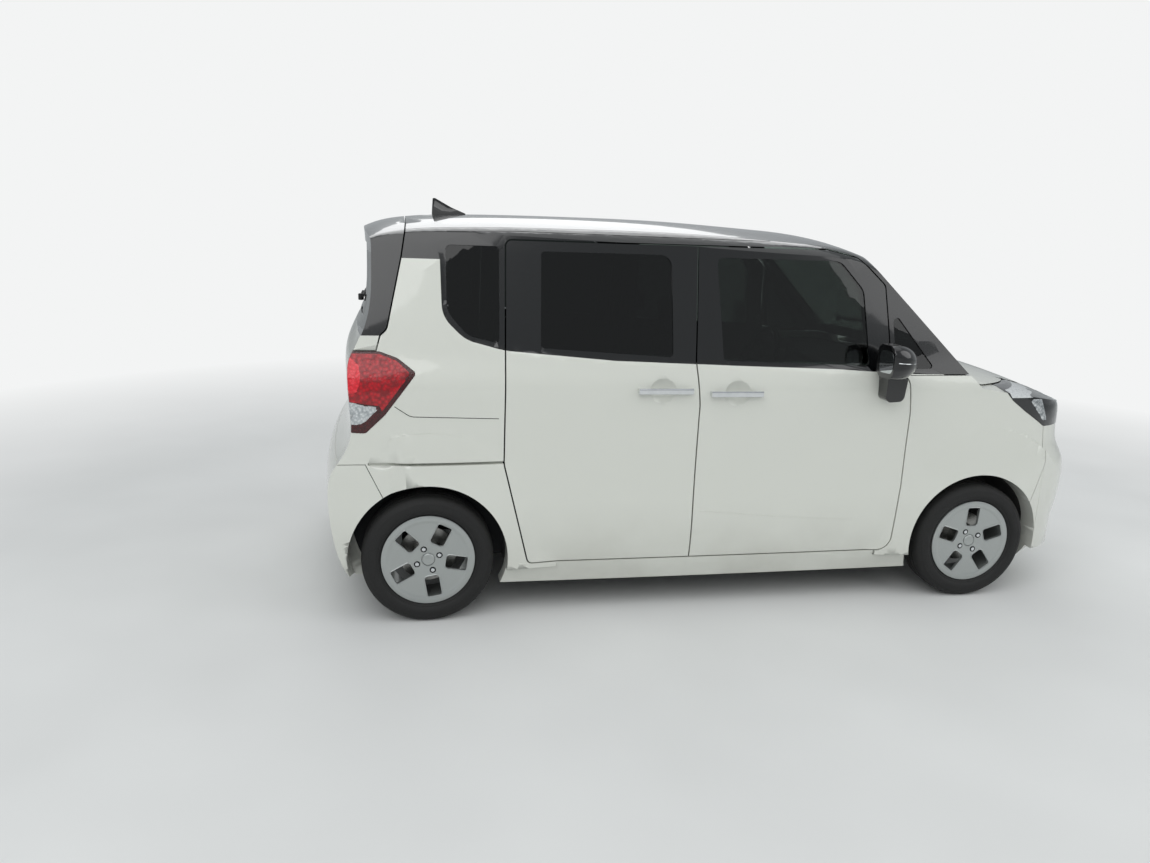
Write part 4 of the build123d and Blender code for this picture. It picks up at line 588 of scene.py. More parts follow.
def node_copy(node, name, grow=0.0):
    """A copy of a CAD node with its doubles merged, grown by so many millimetres."""
    piece = bpy.data.objects.new(name, nodes[node].data.copy())
    bpy.context.collection.objects.link(piece)
    choose(piece)
    edit_mode()
    bpy.ops.mesh.remove_doubles(threshold=MERGE_MM * MM)
    if grow:
        bpy.ops.transform.shrink_fatten(value=grow * MM)
    object_mode()
    return piece


def weigh_normals(piece):
    """Shades the large faces flat, so that the bend stays in the small ones beside them."""
    return modify(piece, "WEIGHTED_NORMAL", mode="FACE_AREA_WITH_ANGLE", weight=80, keep_sharp=True)


def skin(node, finishes, pick=lambda centre, normal: 0, angle=20, grow=0.0):
    """A smooth copy of a CAD node that stands for it, each face in the finish that pick chooses."""
    piece = node_copy(node, node + "_skin", grow)
    piece.data.materials.clear()
    for finish in finishes:
        piece.data.materials.append(finish)
    for face in piece.data.polygons:
        face.material_index = pick(face.center, face.normal)
    bpy.ops.object.shade_smooth_by_angle(angle=radians(angle))
    weigh_normals(piece)
    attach(piece, nodes[node]["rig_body"])
    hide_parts(node)
    skins[node] = piece
    return piece


# %% Dress the sides, roof and ends
ROOF_LINING_NORMAL = -0.4
GRIP_OUT, GRIP_HALF = 795, 16
# Columns: rear end, front end and height of each grip
GRIPS = {"front_door_right": (-85, 145, 992), "front_door_left": (-85, 145, 992),
         "slide_door": (-400, -165, 1004), "rear_door_left": (-760, -525, 1010)}


def door_colour(node):
    """Colours a door like the side it stands in, with its grip in chrome."""
    rear, front, height = GRIPS[node]

    def pick(centre, normal):
        ahead, left, up = centre.x / MM - MIDDLE, centre.y / MM, centre.z / MM
        if abs(left) > GRIP_OUT and abs(up - height) < GRIP_HALF and rear - 2 < ahead < front + 2:
            return 3
        return side_colour(centre, normal)

    return pick


def roof_colour(centre, normal):
    """Black on top, the headliner below."""
    return 1 if normal.z < ROOF_LINING_NORMAL else 0


def end_colour(centre, normal):
    """White paint, with black where the tailgate rises above its paint line, and trim inside it."""
    ahead, up = centre.x / MM - MIDDLE, centre.z / MM
    if normal.x > 0.4 and ahead < -1300:
        return 2
    return 0 if inside(paint_line, ahead, up) else 1


for node in ("side_frame_right", "side_frame_left"):
    skin(node, (white_paint, black_paint, grey_plastic), side_colour)
for node in GRIPS:
    skin(node, (white_paint, black_paint, grey_plastic, chrome), door_colour(node))
for node in ("fender_right", "fender_left", "bonnet", "fuel_lid", "front_bumper", "rear_bumper"):
    skin(node, (white_paint,))
skin("tailgate", (white_paint, black_paint, grey_plastic), end_colour)
skin("roof_panel", (black_paint, headliner), roof_colour)
skin("cowl", (black_plastic,))
for side in SIDES:
    skin("mirror_" + side, (black_paint,))
    skin("front_door_glass_" + side, (door_glass,))
skin("windscreen", (front_glass,))
for node in ("slide_door_glass", "rear_door_glass_left", "quarter_windows", "rear_screen"):
    skin(node, (privacy_glass,))
print(len(skins), "skins stand for their nodes")

# %% Finish the nodes that keep their own mesh
PLAIN_NODES = {
    "floor_pan": carpet,
    "front_structure": underseal,
    "front_suspension": chassis_black,
    "rear_axle": chassis_black,
    "radiator": radiator_alloy,
    "engine": engine_alloy,
    "exhaust": exhaust_steel,
    "fuel_tank": black_plastic,
    "knuckle_right": cast_iron,
    "knuckle_left": cast_iron,
    "dashboard": grey_plastic,
    "steering_wheel": black_plastic,
}
for node, finish in PLAIN_NODES.items():
    nodes[node].data.materials.clear()
    nodes[node].data.materials.append(finish)
print(len(PLAIN_NODES), "nodes finished in place")

# %% [markdown]
# ## Wheels
# Each wheel is drawn once, lying on the origin with its outer face to the right, and copied to its hub. The
# face is spun from a section, and five windows and four nut pockets are cut through it. A thin ridge runs
# round each window, the nuts sit deep in pockets painted black as painted shade, and a plain cap closes the
# hub.

# %% Draw the wheel's face
# Columns: radius, distance outwards from the middle of the tyre
FACE_SECTION = (
    (0, 50), (0, 58), (27, 58), (29, 61), (36, 62.5), (60, 64), (100, 66.5), (140, 68), (160, 68.3),
    (167, 69.2), (171, 71.2), (175, 71.5), (190, 71.5), (194, 70), (194, 63.5), (177.7, 63.5),
    (177.7, -63.5), (194, -63.5), (194, -71.5), (170.7, -71.5), (170.7, 50), (0, 50),
)
WINDOW = ((72, -32, 16), (165, -32, 10), (165, 32, 10), (72, 32, 16))
WINDOW_TURN = {"front": 90, "rear": -8}
RIDGE_MM = 2.6
NUT_CIRCLE = 50
NUT_TURN = 30
POCKET_RADIUS, POCKET_BOTTOM = 13.5, 53
NUT_RADIUS, NUT_LENGTH, NUT_EDGE = 9.5, 14, 1.8
WHEEL_AXIS = (0, 1, 0)


def at_wheel(x, out, z):
    """A point in metres on a wheel that lies at the origin with its outer face to the right."""
    return Vector((x, -out, z)) * MM


def turned(angle):
    """The turn of a wheel by an angle in degrees, as its right side shows it."""
    return Matrix.Rotation(-radians(angle), 4, "Y")


def face_out(radius):
    """How far out the wheel's face lies at a radius."""
    front = FACE_SECTION[1:13]
    for (r0, out0), (r1, out1) in zip(front, front[1:]):
        if r0 <= radius <= r1:
            return out0 + (out1 - out0) * (radius - r0) / (r1 - r0)
    return front[-1][1]


wheel_face = turn([at_wheel(r, out, 0) for r, out in FACE_SECTION], (0, 0, 0), WHEEL_AXIS, 96)
window = rounded(WINDOW)
window_block = pull([at_wheel(x, 85, z) for x, z in window], (0, 0.06, 0))
tools = [window_block] + [copy_to(window_block, turned(72 * count)) for count in range(1, 5)]
for count in range(4):
    deselect()
    bpy.ops.mesh.primitive_cylinder_add(
        vertices=32, radius=POCKET_RADIUS * MM, depth=0.04, rotation=(pi / 2, 0, 0),
        location=turned(NUT_TURN + 90 * count) @ at_wheel(NUT_CIRCLE, POCKET_BOTTOM + 20, 0),
    )
    tools.append(bpy.context.object)
    bpy.ops.object.transform_apply(location=True, rotation=True, scale=True)
cut(wheel_face, join(tools))

# %% Ridges, pockets and nuts
ring = [at_wheel(x, face_out((x * x + z * z) ** 0.5) - 0.6, z) for x, z in window]
ridge = rod(ring, RIDGE_MM * MM, 2, closed=True)
ridges = join([ridge] + [copy_to(ridge, turned(72 * count)) for count in range(1, 5)])
wheel_face.data.materials.append(silver_alloy)
wheel_face.data.materials.append(black_plastic)
nut_places = [turned(NUT_TURN + 90 * count) @ at_wheel(NUT_CIRCLE, 0, 0) for count in range(4)]
# The faces inside the nut pockets take the black slot as painted shade, for the dark of the deep pockets
for face in wheel_face.data.polygons:
    near = min((Vector((face.center.x, 0, face.center.z)) - place).length for place in nut_places)
    face.material_index = 1 if near < (POCKET_RADIUS + 0.2) * MM and -face.center.y < 0.066 else 0
ridges.data.materials.append(silver_alloy)
wheel_face = join([wheel_face, ridges])

nuts = []
for place in nut_places:
    deselect()
    middle = place + at_wheel(0, POCKET_BOTTOM + 6, 0)
    bpy.ops.mesh.primitive_cylinder_add(
        vertices=6, radius=NUT_RADIUS * MM, depth=NUT_LENGTH * MM, rotation=(pi / 2, 0, 0), location=middle
    )
    nuts.append(modify(bpy.context.object, "BEVEL", width=NUT_EDGE * MM, segments=2))
wheel_nuts = join(nuts)
CAP_SECTION = ((0, 57.5), (25.5, 57.5), (25.5, 62), (23.5, 63.8), (16, 64.4), (14.5, 63.9), (0, 64.2))
wheel_cap = turn([at_wheel(r, out, 0) for r, out in CAP_SECTION], (0, 0, 0), WHEEL_AXIS, 48)
DISC_SECTION = (
    (28, -22), (120, -22), (120, -17.5), (110, -16.5), (110, -13.5), (120, -12.5), (120, -8), (68, -8),
    (66, 0), (66, 40), (62, 50), (28, 50), (28, -22),
)
brake_disc = turn([at_wheel(r, out, 0) for r, out in DISC_SECTION], (0, 0, 0), WHEEL_AXIS, 64)
print("wheel face:", len(wheel_face.data.polygons), "faces")

# %% [markdown]
# The tyre is spun from its section too. Three grooves run round the tread. Every third step of the spin is
# then pressed in on both shoulders, which leaves the blocks between.

# %% Draw the tyre
TYRE_STEPS = 180
GROOVES = (-28, 0, 28)
GROOVE_HALF, GROOVE_DEPTH = 3.5, 6.5
TREAD_HALF = 60.5
SHOULDER_PRESS = 4.0
SHOULDER, SHOULDER_LOW = (32, 68), 266
# Columns: radius, distance from the middle of the tyre
SIDE_SECTION = (
    (178, 63), (195, 63.2), (199, 66.5), (203, 70.5), (206, 72.5), (209, 72.6), (216, 79.4), (226, 82),
    (238, 82.2), (246, 80.4), (248, 80.6), (250, 80.2), (252, 79), (260, 75.4), (265, 72), (270, 66),
)


def tread_radius(out):
    """The radius of the crowned tread."""
    return TYRE_RADIUS - 3 * (out / TREAD_HALF) ** 2


floor_half = GROOVE_HALF - 1
groove_edges = ((-GROOVE_HALF, 0), (-floor_half, GROOVE_DEPTH), (floor_half, GROOVE_DEPTH), (GROOVE_HALF, 0))
tread = []
for groove in GROOVES:
    for edge, drop in groove_edges:
        tread.append((tread_radius(groove + edge) - drop, groove + edge))
section = [(r, -out) for r, out in SIDE_SECTION] + [(tread_radius(TREAD_HALF), -TREAD_HALF)] + tread
section += [(tread_radius(TREAD_HALF), TREAD_HALF)] + list(reversed(SIDE_SECTION)) + [(178, -63)]
wheel_tyre = turn([at_wheel(r, out, 0) for r, out in section], (0, 0, 0), WHEEL_AXIS, TYRE_STEPS)

choose(wheel_tyre)
pitch = 2 * pi / TYRE_STEPS
for face in wheel_tyre.data.polygons:
    along = abs(face.center.y) / MM
    step = int((atan2(face.center.z, face.center.x) % (2 * pi)) / pitch)
    radius = Vector((face.center.x, face.center.z)).length / MM
    face.select = step % 3 == 0 and SHOULDER[0] < along < SHOULDER[1] and radius > SHOULDER_LOW
bpy.ops.object.mode_set(mode="EDIT")
bpy.ops.mesh.select_mode(type="FACE")
bpy.ops.mesh.extrude_region_shrink_fatten(TRANSFORM_OT_shrink_fatten={"value": -SHOULDER_PRESS * MM})
bpy.ops.mesh.select_mode(type="VERT")
object_mode()
print("tyre:", len(wheel_tyre.data.polygons), "faces")

# %% Copy the wheel to its four hubs
WHEEL_PIECES = (
    (wheel_face, "wheel_alloy_", None, "rim_", 28),
    (wheel_tyre, "wheel_tyre_", tyre_rubber, "tyre_", 30),
    (wheel_nuts, "wheel_nuts_", chrome, None, 30),
    (wheel_cap, "wheel_cap_", silver_alloy, None, 30),
    (brake_disc, "brake_disc_", disc_steel, None, 30),
)
for end, axle in (("front", FRONT_AXLE), ("rear", REAR_AXLE)):
    for side, sign in SIDES.items():
        place = Matrix.Translation(spot(axle - MIDDLE, sign * WHEEL_Y, AXLE_Z))
        place = place @ (MIRROR if sign > 0 else Matrix()) @ turned(WINDOW_TURN[end])
        for master, name, finish, stands_for, angle in WHEEL_PIECES:
            piece = copy_to(master, place)
            settle(piece, name + end + "_" + side, finish, "wheel_" + end + "_" + side, angle=angle)
            if stands_for:
                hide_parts(stands_for + end + "_" + side)
for master in WHEEL_PIECES:
    bpy.data.objects.remove(master[0])
print("wheels stand on four hubs")

# %% [markdown]
# ## Lamps, handles and seams
# Lamps, trims and inserts follow the curved panels, so each one is the panel itself, kept only inside a
# drawn outline and pushed out by a hair. Seams and ridges are thin bars laid along the skin: a ray finds
# the surface below every point of their outline.

# %% Cut a patch out of a panel, lay a bar on one
SHARP_EDGE = 28
OUTSIDE = 1300
LAY_STEP = 30


def circle(x, z, radius):
    """An outline round a centre."""
    r = radius
    return ((x - r, z - r, r), (x + r, z - r, r), (x + r, z + r, r), (x - r, z + r, r))


def patch(node, outline, finish, name, reach=(-1000, 1000), proud=0.5, front=False):
    """The part of a node inside an outline of its side or front view, a little proud, in its own finish."""
    piece = node_copy(node, name)
    depth = (reach[1] - reach[0]) * MM
    if front:
        tool = pull([spot(reach[0], left, up) for left, up in rounded(outline)], (depth, 0, 0))
    else:
        tool = pull([spot(ahead, reach[0], up) for ahead, up in rounded(outline)], (0, depth, 0))
    cut(piece, tool, "INTERSECT")
    edit_mode()
    bpy.ops.transform.shrink_fatten(value=proud * MM)
    object_mode()
    settle(piece, name, finish, nodes[node]["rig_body"], angle=SHARP_EDGE)
    return weigh_normals(piece)


def lay(node, outline, side, closed=True, out=0.0):
    """Points on the outer skin of a node along an outline of its side view."""
    corners = [Vector(point) for point in rounded(outline)]
    ends = corners[1:] + corners[:1] if closed else corners[1:]
    points = []
    for start, end in zip(corners, ends):
        steps = max(1, int((end - start).length / LAY_STEP))
        points += [start.lerp(end, step / steps) for step in range(steps)]
    if not closed:
        points.append(corners[-1])
    laid = []
    for ahead, up in points:
        hit, place, normal, index = skins[node].ray_cast(spot(ahead, side * OUTSIDE, up), (0, -side, 0))
        if hit:
            laid.append(place + normal * out * MM)
    return laid


def bar_on(node, outline, side, radius, finish, name, closed=True, out=0.0):
    """A thin bar along an outline on the skin of a node."""
    piece = rod(lay(node, outline, side, closed, out), radius * MM, 2, closed)
    return settle(piece, name, finish, nodes[node]["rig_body"])


print("patches and bars are ready")

# %% Lamp plastics
def lens(name, dark, light, facet_mm, **look):
    """A coloured lamp lens with moulded facets under a polished face."""
    material, tree, shader, place = start_material(name, Coat_Weight=0.35, Coat_Roughness=0.02, **look)
    sockets = {"Vector": place, "Scale": 1 / (facet_mm * MM)}
    cells = add_node(tree, "TexVoronoi", sockets).outputs["Distance"]
    tree.links.new(ramp(tree, cells, light, dark, 0.1, 0.8), shader.inputs["Base Color"])
    tree.links.new(span(tree, cells, 0.12, 0.35), shader.inputs["Roughness"])
    raise_surface(tree, shader, cells, 1.2, 0.5)
    return material


red_border = lens("dark_red_lamp_rim", "#300206", "#4C040A", 9)
red_lens = lens("red_tail_lamp_lens", "#7E0610", "#C01020", 14)
bright_lens = lens("bright_red_brake_lens", "#C81424", "#F23C48", 10)
clear_lens = lens("clear_reversing_lamp_lens", "#9FA5A8", "#DDE1E2", 11, Metallic=0.4)
bezel = plain_finish(
    "dark_chrome_lamp_bezel", "#16181A", "#222426", 20, (0.15, 0.25), 0.02, Metallic=0.5, Coat_Weight=1.0
)
lamp_silver = lens("faceted_lamp_reflector", "#8E9497", "#E6E9EA", 14, Metallic=0.8)
light_bar = plain_finish("frosted_light_bar", "#CDD1D2", "#DDE0E1", 12, (0.25, 0.35), 0.05, Coat_Weight=1.0)
lamp_eye = plain_finish(
    "polished_projector_lens", "#3A4246", "#566067", 30, (0.02, 0.05), 0.0, Coat_Weight=1.0
)

# %% Tail lamps
LAMP_GROW = 2.2
skin("tail_lamps", (red_border,), grow=LAMP_GROW)
TAIL_PATCHES = (
    ("tail_lamp_red", red_lens, 3.0, (
        (-1800, 955, 0), (-1800, 1139, 0), (-1450, 1139, 28), (-1384, 1114, 50), (-1331, 1066, 12),
        (-1441, 917, 0), (-1452, 937, 0), (-1566, 955, 0),
    )),
    ("tail_lamp_brake", bright_lens, 3.8, (
        (-1800, 1124, 0), (-1566, 1124, 18), (-1526, 1092, 40), (-1518, 1040, 60), (-1536, 990, 24),
        (-1800, 986, 0),
    )),
    ("tail_lamp_clear", clear_lens, 3.0, (
        (-1800, 949, 0), (-1566, 949, 0), (-1453, 931, 4), (-1517, 862, 8), (-1800, 862, 0),
    )),
)
for name, finish, proud, outline in TAIL_PATCHES:
    patch("tail_lamps", outline, finish, name, proud=proud)

# %% Headlamps
skin("headlamps", (bezel,), grow=LAMP_GROW)
BAR_OUTLINE = ((1346, 993, 4), (2100, 993, 0), (2100, 970, 0), (1368, 967, 4))
SIDE_OUTLINE = ((1462, 955, 6), (1530, 955, 6), (1580, 850, 6), (1548, 862, 6))
LAMP_UP, LAMP_REACH = 905, (1400, 2100)
# Columns: name, distance from the middle of the car, radius, finish, how far it stands proud
LAMP_ROUNDS = (
    ("main_bowl", 610, 52, lamp_silver, 3.0),
    ("main_eye", 610, 36, lamp_eye, 3.8),
    ("turn_bowl", 500, 40, lamp_silver, 3.0),
    ("turn_eye", 500, 24, lamp_eye, 3.8),
)
patch("headlamps", BAR_OUTLINE, light_bar, "headlamp_bar", proud=3.1)
patch("headlamps", SIDE_OUTLINE, lamp_silver, "headlamp_side", proud=3.0)
for side, sign in SIDES.items():
    for name, left, radius, finish, proud in LAMP_ROUNDS:
        outline = circle(sign * left, LAMP_UP, radius)
        patch("headlamps", outline, finish, f"{name}_{side}", LAMP_REACH, proud, True)
print("lamps are in")

# %% [markdown]
# ## Seats
# Every seat part starts as a slightly small, closed block with rounded edges, drawn in its side view. A
# voxel remesh gives it an even skin, and a short cloth run under pressure swells it into a crowned pad
# whose corners stay back. Seams of piping are laid on afterwards, because the remesh would erase them.

# %% Fabrics
WAVES_PER_THREAD = 0.31


def fabric(name, dark, light, thread_mm):
    """Woven cloth: warp and weft as two crossed waves, with a soft unevenness over them."""
    material, tree, shader, place = start_material(name, Sheen_Weight=0.3, Sheen_Roughness=0.6)
    sockets = {"Vector": place, "Scale": WAVES_PER_THREAD / (thread_mm * MM)}
    warp = add_node(tree, "TexWave", sockets, bands_direction="Y").outputs[1]
    weft = add_node(tree, "TexWave", sockets, bands_direction="DIAGONAL").outputs[1]
    weave = add_node(tree, "Math", {0: warp, 1: weft}, operation="MULTIPLY").outputs[0]
    tree.links.new(ramp(tree, weave, dark, light, 0.1, 0.8), shader.inputs["Base Color"])
    tree.links.new(span(tree, grain(tree, place, 60), 0.75, 0.95), shader.inputs["Roughness"])
    raise_surface(tree, shader, weave, 0.4, 0.6)
    return material


seat_cloth = fabric("woven_seat_cloth", "#1F2124", "#3A3D41", 1.6)
seat_side = fabric("knitted_seat_side_cloth", "#2C2E31", "#44474B", 1.0)
belt_web = fabric("polyester_belt_webbing", "#141415", "#232425", 1.2)

# %% Swell the pads
VOXEL_MM = 8
SWELL_CAP_MM = 24
SWELL_PRESSURE, SWELL_FRAMES = 4, 20
PAD_INSET = 14
EDGE_ROUND = 30


def pad(outline, width):
    """A swollen pad from its side outline, on the middle line of the car."""
    inner = width / 2 - PAD_INSET
    side = [spot(ahead, -inner, up) for ahead, up in rounded(outline)]
    piece = pull(side, (0, 2 * inner * MM, 0))
    modify(piece, "BEVEL", width=EDGE_ROUND * MM, segments=4, limit_method="ANGLE", angle_limit=radians(50))
    modify(piece, "REMESH", mode="VOXEL", voxel_size=VOXEL_MM * MM, use_smooth_shade=True)
    start = [vertex.co.copy() for vertex in piece.data.vertices]
    choose(piece)
    cloth = piece.modifiers.new("Cloth", "CLOTH")
    cloth.settings.use_pressure, cloth.settings.uniform_pressure_force = True, SWELL_PRESSURE
    cloth.settings.effector_weights.gravity = 0
    for step in range(1, SWELL_FRAMES + 1):
        bpy.context.scene.frame_set(step)
    bpy.ops.object.modifier_apply(modifier="Cloth")
    bpy.context.scene.frame_set(1)
    for vertex, before in zip(piece.data.vertices, start):
        move = vertex.co - before
        if move.length > SWELL_CAP_MM * MM:
            vertex.co = before + move.normalized() * SWELL_CAP_MM * MM
    modify(piece, "SMOOTH", factor=0.5, iterations=4)
    return piece


# Columns: name, side outline as ahead, up and corner radius, width, distance from the middle of the car
PADS = (
    ("front_cushion", ((-86, 586, 30), (398, 598, 40), (396, 452, 40), (-80, 440, 30)), 480, 350),
    ("front_back", ((-80, 560, 30), (-176, 1172, 40), (-88, 1180, 40), (34, 600, 40)), 470, 350),
    ("front_headrest", ((-176, 1226, 20), (-184, 1334, 30), (-112, 1336, 30), (-104, 1226, 20)), 260, 350),
    ("rear_cushion", ((-856, 570, 30), (-440, 584, 40), (-436, 452, 30), (-850, 446, 30)), 555, 281),
    ("rear_back", ((-852, 560, 30), (-930, 1100, 40), (-852, 1108, 40), (-748, 590, 40)), 555, 281),
    ("rear_headrest", ((-878, 1146, 12), (-892, 1250, 20), (-944, 1252, 20), (-936, 1148, 12)), 240, 290),
)
# Columns: name, rear and front end, low and high level, width, places to the left
BASES = (
    ("front_seat_base", (-60, 380, 384, 446), 450, (-350, 350)),
    ("rear_seat_base", (-840, -450, 434, 452), 1100, (0,)),
)
print("pads:", [name for name, *_ in PADS])

# %% Place the pads and their piping
def piping(outline, left):
    """The ring of a sewn seam round a pad."""
    middle = Vector((sum(point[0] for point in outline), sum(point[1] for point in outline))) / len(outline)
    ring = []
    for point in rounded(outline):
        away = (point - middle).normalized() * PIPING_OUT
        ring.append(spot(point.x + away.x, left, point.y + away.y))
    return rod(ring, PIPING_RADIUS * MM, 2, closed=True)


PIPING_OUT, PIPING_RADIUS, PIPING_IN = 4, 3, 62
STEM_APART, STEM_RADIUS, STEM_ENDS = 55, 6, (-48, 20)
STANDS_FOR = {"front_cushion_0": "front_seats", "rear_cushion_0": "rear_seat"}
for name, outline, width, middle in PADS:
    body = nodes["front_seats" if name.startswith("front") else "rear_seat"]["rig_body"]
    master = pad(outline, width)
    for count, left in enumerate((-middle, middle)):
        piece = copy_to(master, Matrix.Translation((0, left * MM, 0)))
        settle(piece, f"{name}_{count}", seat_cloth, body, angle=60)
        if piece.name in STANDS_FOR:
            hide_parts(STANDS_FOR[piece.name])
        if "headrest" not in name:
            inset = width / 2 - PIPING_IN
            seams = join([piping(outline, left - inset), piping(outline, left + inset)])
            settle(seams, f"{name}_piping_{count}", seat_side, body)
        else:
            low = min(point[1] for point in outline)
            across = sum(point[0] for point in outline) / len(outline)
            stems = []
            for place in (left - STEM_APART, left + STEM_APART):
                ends = [spot(across, place, low + STEM_ENDS[0]), spot(across, place, low + STEM_ENDS[1])]
                stems.append(rod(ends, STEM_RADIUS * MM))
            settle(join(stems), f"{name}_stems_{count}", chrome, body)
    bpy.data.objects.remove(master)
for name, (rear, front, low, high), width, places in BASES:
    body = nodes["front_seats" if name.startswith("front") else "rear_seat"]["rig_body"]
    for count, left in enumerate(places):
        size = Vector((front - rear, width, high - low)) * MM
        piece = box(spot((rear + front) / 2, left, (low + high) / 2), size, 0.012)
        settle(piece, f"{name}_{count}", grey_plastic, body)
print("seats are in")

# %% [markdown]
# ## Trim, plates and wipers
# The car's small things give the eye its scale: blank plates on their flats, wiper arms, mirrors, and the
# seams and ridges that the light picks up along the sides. A ray finds the skin under each of them, so
# they lie on the panels wherever those curve.

# %% Seams, ridges and creases of the sides
SUNK_SHARE = 0.3
# Columns: name, node without its side, outline of the side view, radius, finish
SIDE_LINES = (
    ("quarter_seam", "side_frame_", ((-1392, 934, 0), (-1330, 892, 0), (-975, 884, 0)), 1.6, rubber),
    ("sill_ridge", "side_frame_", ((-880, 252, 0), (760, 252, 0)), 4, white_paint),
    ("roof_ditch", "side_frame_", ((-1180, 1622, 0), (-900, 1630, 0), (200, 1622, 0)), 1.6, rubber),
    ("door_crease", "front_door_", ((-95, 470, 0), (300, 430, 0), (640, 410, 0)), 1.6, white_paint),
)
for side, sign in SIDES.items():
    for name, node, outline, radius, finish in SIDE_LINES:
        bar_on(node + side, outline, sign, radius, finish, f"{name}_{side}", False, -SUNK_SHARE * radius)
print(len(SIDE_LINES), "lines on each side")

# %% Blank plates
PLATE_THICK, PLATE_ROUND, FRAME_WIDTH = 2.5, 0.001, 0.012
SCREW_RADIUS, SCREW_OUT, SCREW_EDGE = 0.006, 0.005, 0.0015
SCREW_ACROSS, SCREW_ABOVE = 0.55, 0.36
# Columns: name, node that carries it, half width, low and high edge, direction out
PLATES = (
    ("rear_plate", "tailgate", 165, 868, 1006, -1),
    ("front_plate", "front_bumper", 260, 570, 680, 1),
)


def touch(node, start, way):
    """Where a ray first meets a skin, and the way the skin faces there."""
    hit, place, normal, index = skins[node].ray_cast(start, way)
    return (place, normal) if hit else (None, None)


for name, node, half, low, high, out in PLATES:
    ends = [touch(node, spot(out * 2500, 0, up), (-out, 0, 0))[0] for up in (low, high)]
    middle = (ends[0] + ends[1]) / 2
    lean = atan2((ends[1] - ends[0]).x, (ends[1] - ends[0]).z)
    size = Vector((PLATE_THICK, 2 * half, high - low)) * MM
    step = Vector((out * PLATE_THICK * MM, 0, 0))
    sheet = box(step, size, PLATE_ROUND)
    rim = box(1.6 * step, size + Vector((0.001, FRAME_WIDTH, FRAME_WIDTH)), PLATE_ROUND)
    cut(rim, box(2 * step, size + Vector((0.02, -0.01, -0.01))))
    screws = []
    for across in (-1, 1):
        deselect()
        bpy.ops.mesh.primitive_cylinder_add(
            vertices=24, radius=SCREW_RADIUS, depth=SCREW_RADIUS, rotation=(0, pi / 2, 0),
            location=(out * SCREW_OUT, across * half * SCREW_ACROSS * MM, (high - low) * SCREW_ABOVE * MM),
        )
        screws.append(modify(bpy.context.object, "BEVEL", width=SCREW_EDGE, segments=2))
    parts = ((sheet, "", plate_white), (rim, "_frame", black_plastic), (join(screws), "_screws", chrome))
    for piece, label, finish in parts:
        choose(piece)
        bpy.ops.transform.rotate(value=-lean, orient_axis="Y", center_override=(0, 0, 0))
        bpy.ops.transform.translate(value=middle)
        settle(piece, name + label, finish, nodes[node]["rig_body"])
print("plates are blank")

# %% Wipers
BLADE_LIFT, BLADE_RADIUS = 4, 3
RAIL_LIFT, RAIL_RADIUS = 9, 6
ARM_LIFT, ARM_RADIUS = 18, 5.5
SPINDLE_RADIUS, SPINDLE_LENGTH, SPINDLE_DROP, SPINDLE_EDGE = 13, 30, 4, 4


def on_skin(node, points, way, lift):
    """The points moved along a way onto a skin, then lifted off it."""
    laid = []
    for point in points:
        place, normal = touch(node, point - Vector(way) * 1.5, way)
        if place:
            laid.append(place + normal * lift * MM)
    return laid


def wiper(name, node, body, pivot, tip, blade, way):
    """An arm from its spindle to the middle of a blade, both a little off the glass."""
    arm = [pivot.lerp(tip, step / 8) for step in range(9)]
    rubber_line = [blade[0].lerp(blade[1], step / 12) for step in range(13)]
    rail = on_skin(node, rubber_line, way, RAIL_LIFT)
    edge = on_skin(node, rubber_line, way, BLADE_LIFT)
    arm = on_skin(node, arm, way, ARM_LIFT)
    pieces = [rod(arm, ARM_RADIUS * MM), rod(rail, RAIL_RADIUS * MM)]
    settle(join(pieces), name + "_arm", black_plastic, body)
    settle(rod(edge, BLADE_RADIUS * MM), name + "_blade", rubber, body)
    deselect()
    bpy.ops.mesh.primitive_cylinder_add(
        vertices=32, radius=SPINDLE_RADIUS * MM, depth=SPINDLE_LENGTH * MM,
        location=arm[0] - Vector((0, 0, SPINDLE_DROP * MM)),
    )
    spindle = modify(bpy.context.object, "BEVEL", width=SPINDLE_EDGE * MM, segments=3)
    settle(spindle, name + "_spindle", black_plastic, body)


# Columns: name, pane, distance ahead, way onto the glass; pivot, arm's end and blade's ends, left and up
WIPERS = (
    ("wiper_near", "windscreen", 900, -1, ((470, 1168), (90, 1196), (380, 1176), (-190, 1206))),
    ("wiper_far", "windscreen", 900, -1, ((-70, 1168), (-360, 1192), (-110, 1178), (-590, 1200))),
    ("rear_wiper", "rear_screen", -1600, 1, ((0, 1292), (150, 1300), (-20, 1296), (330, 1306))),
)
for name, node, ahead, onto, places in WIPERS:
    pivot, tip, *blade = [spot(ahead, left, up) for left, up in places]
    wiper(name, node, nodes[node]["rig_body"], pivot, tip, blade, Vector((onto, 0, 0)))
print("wipers rest on the glass")

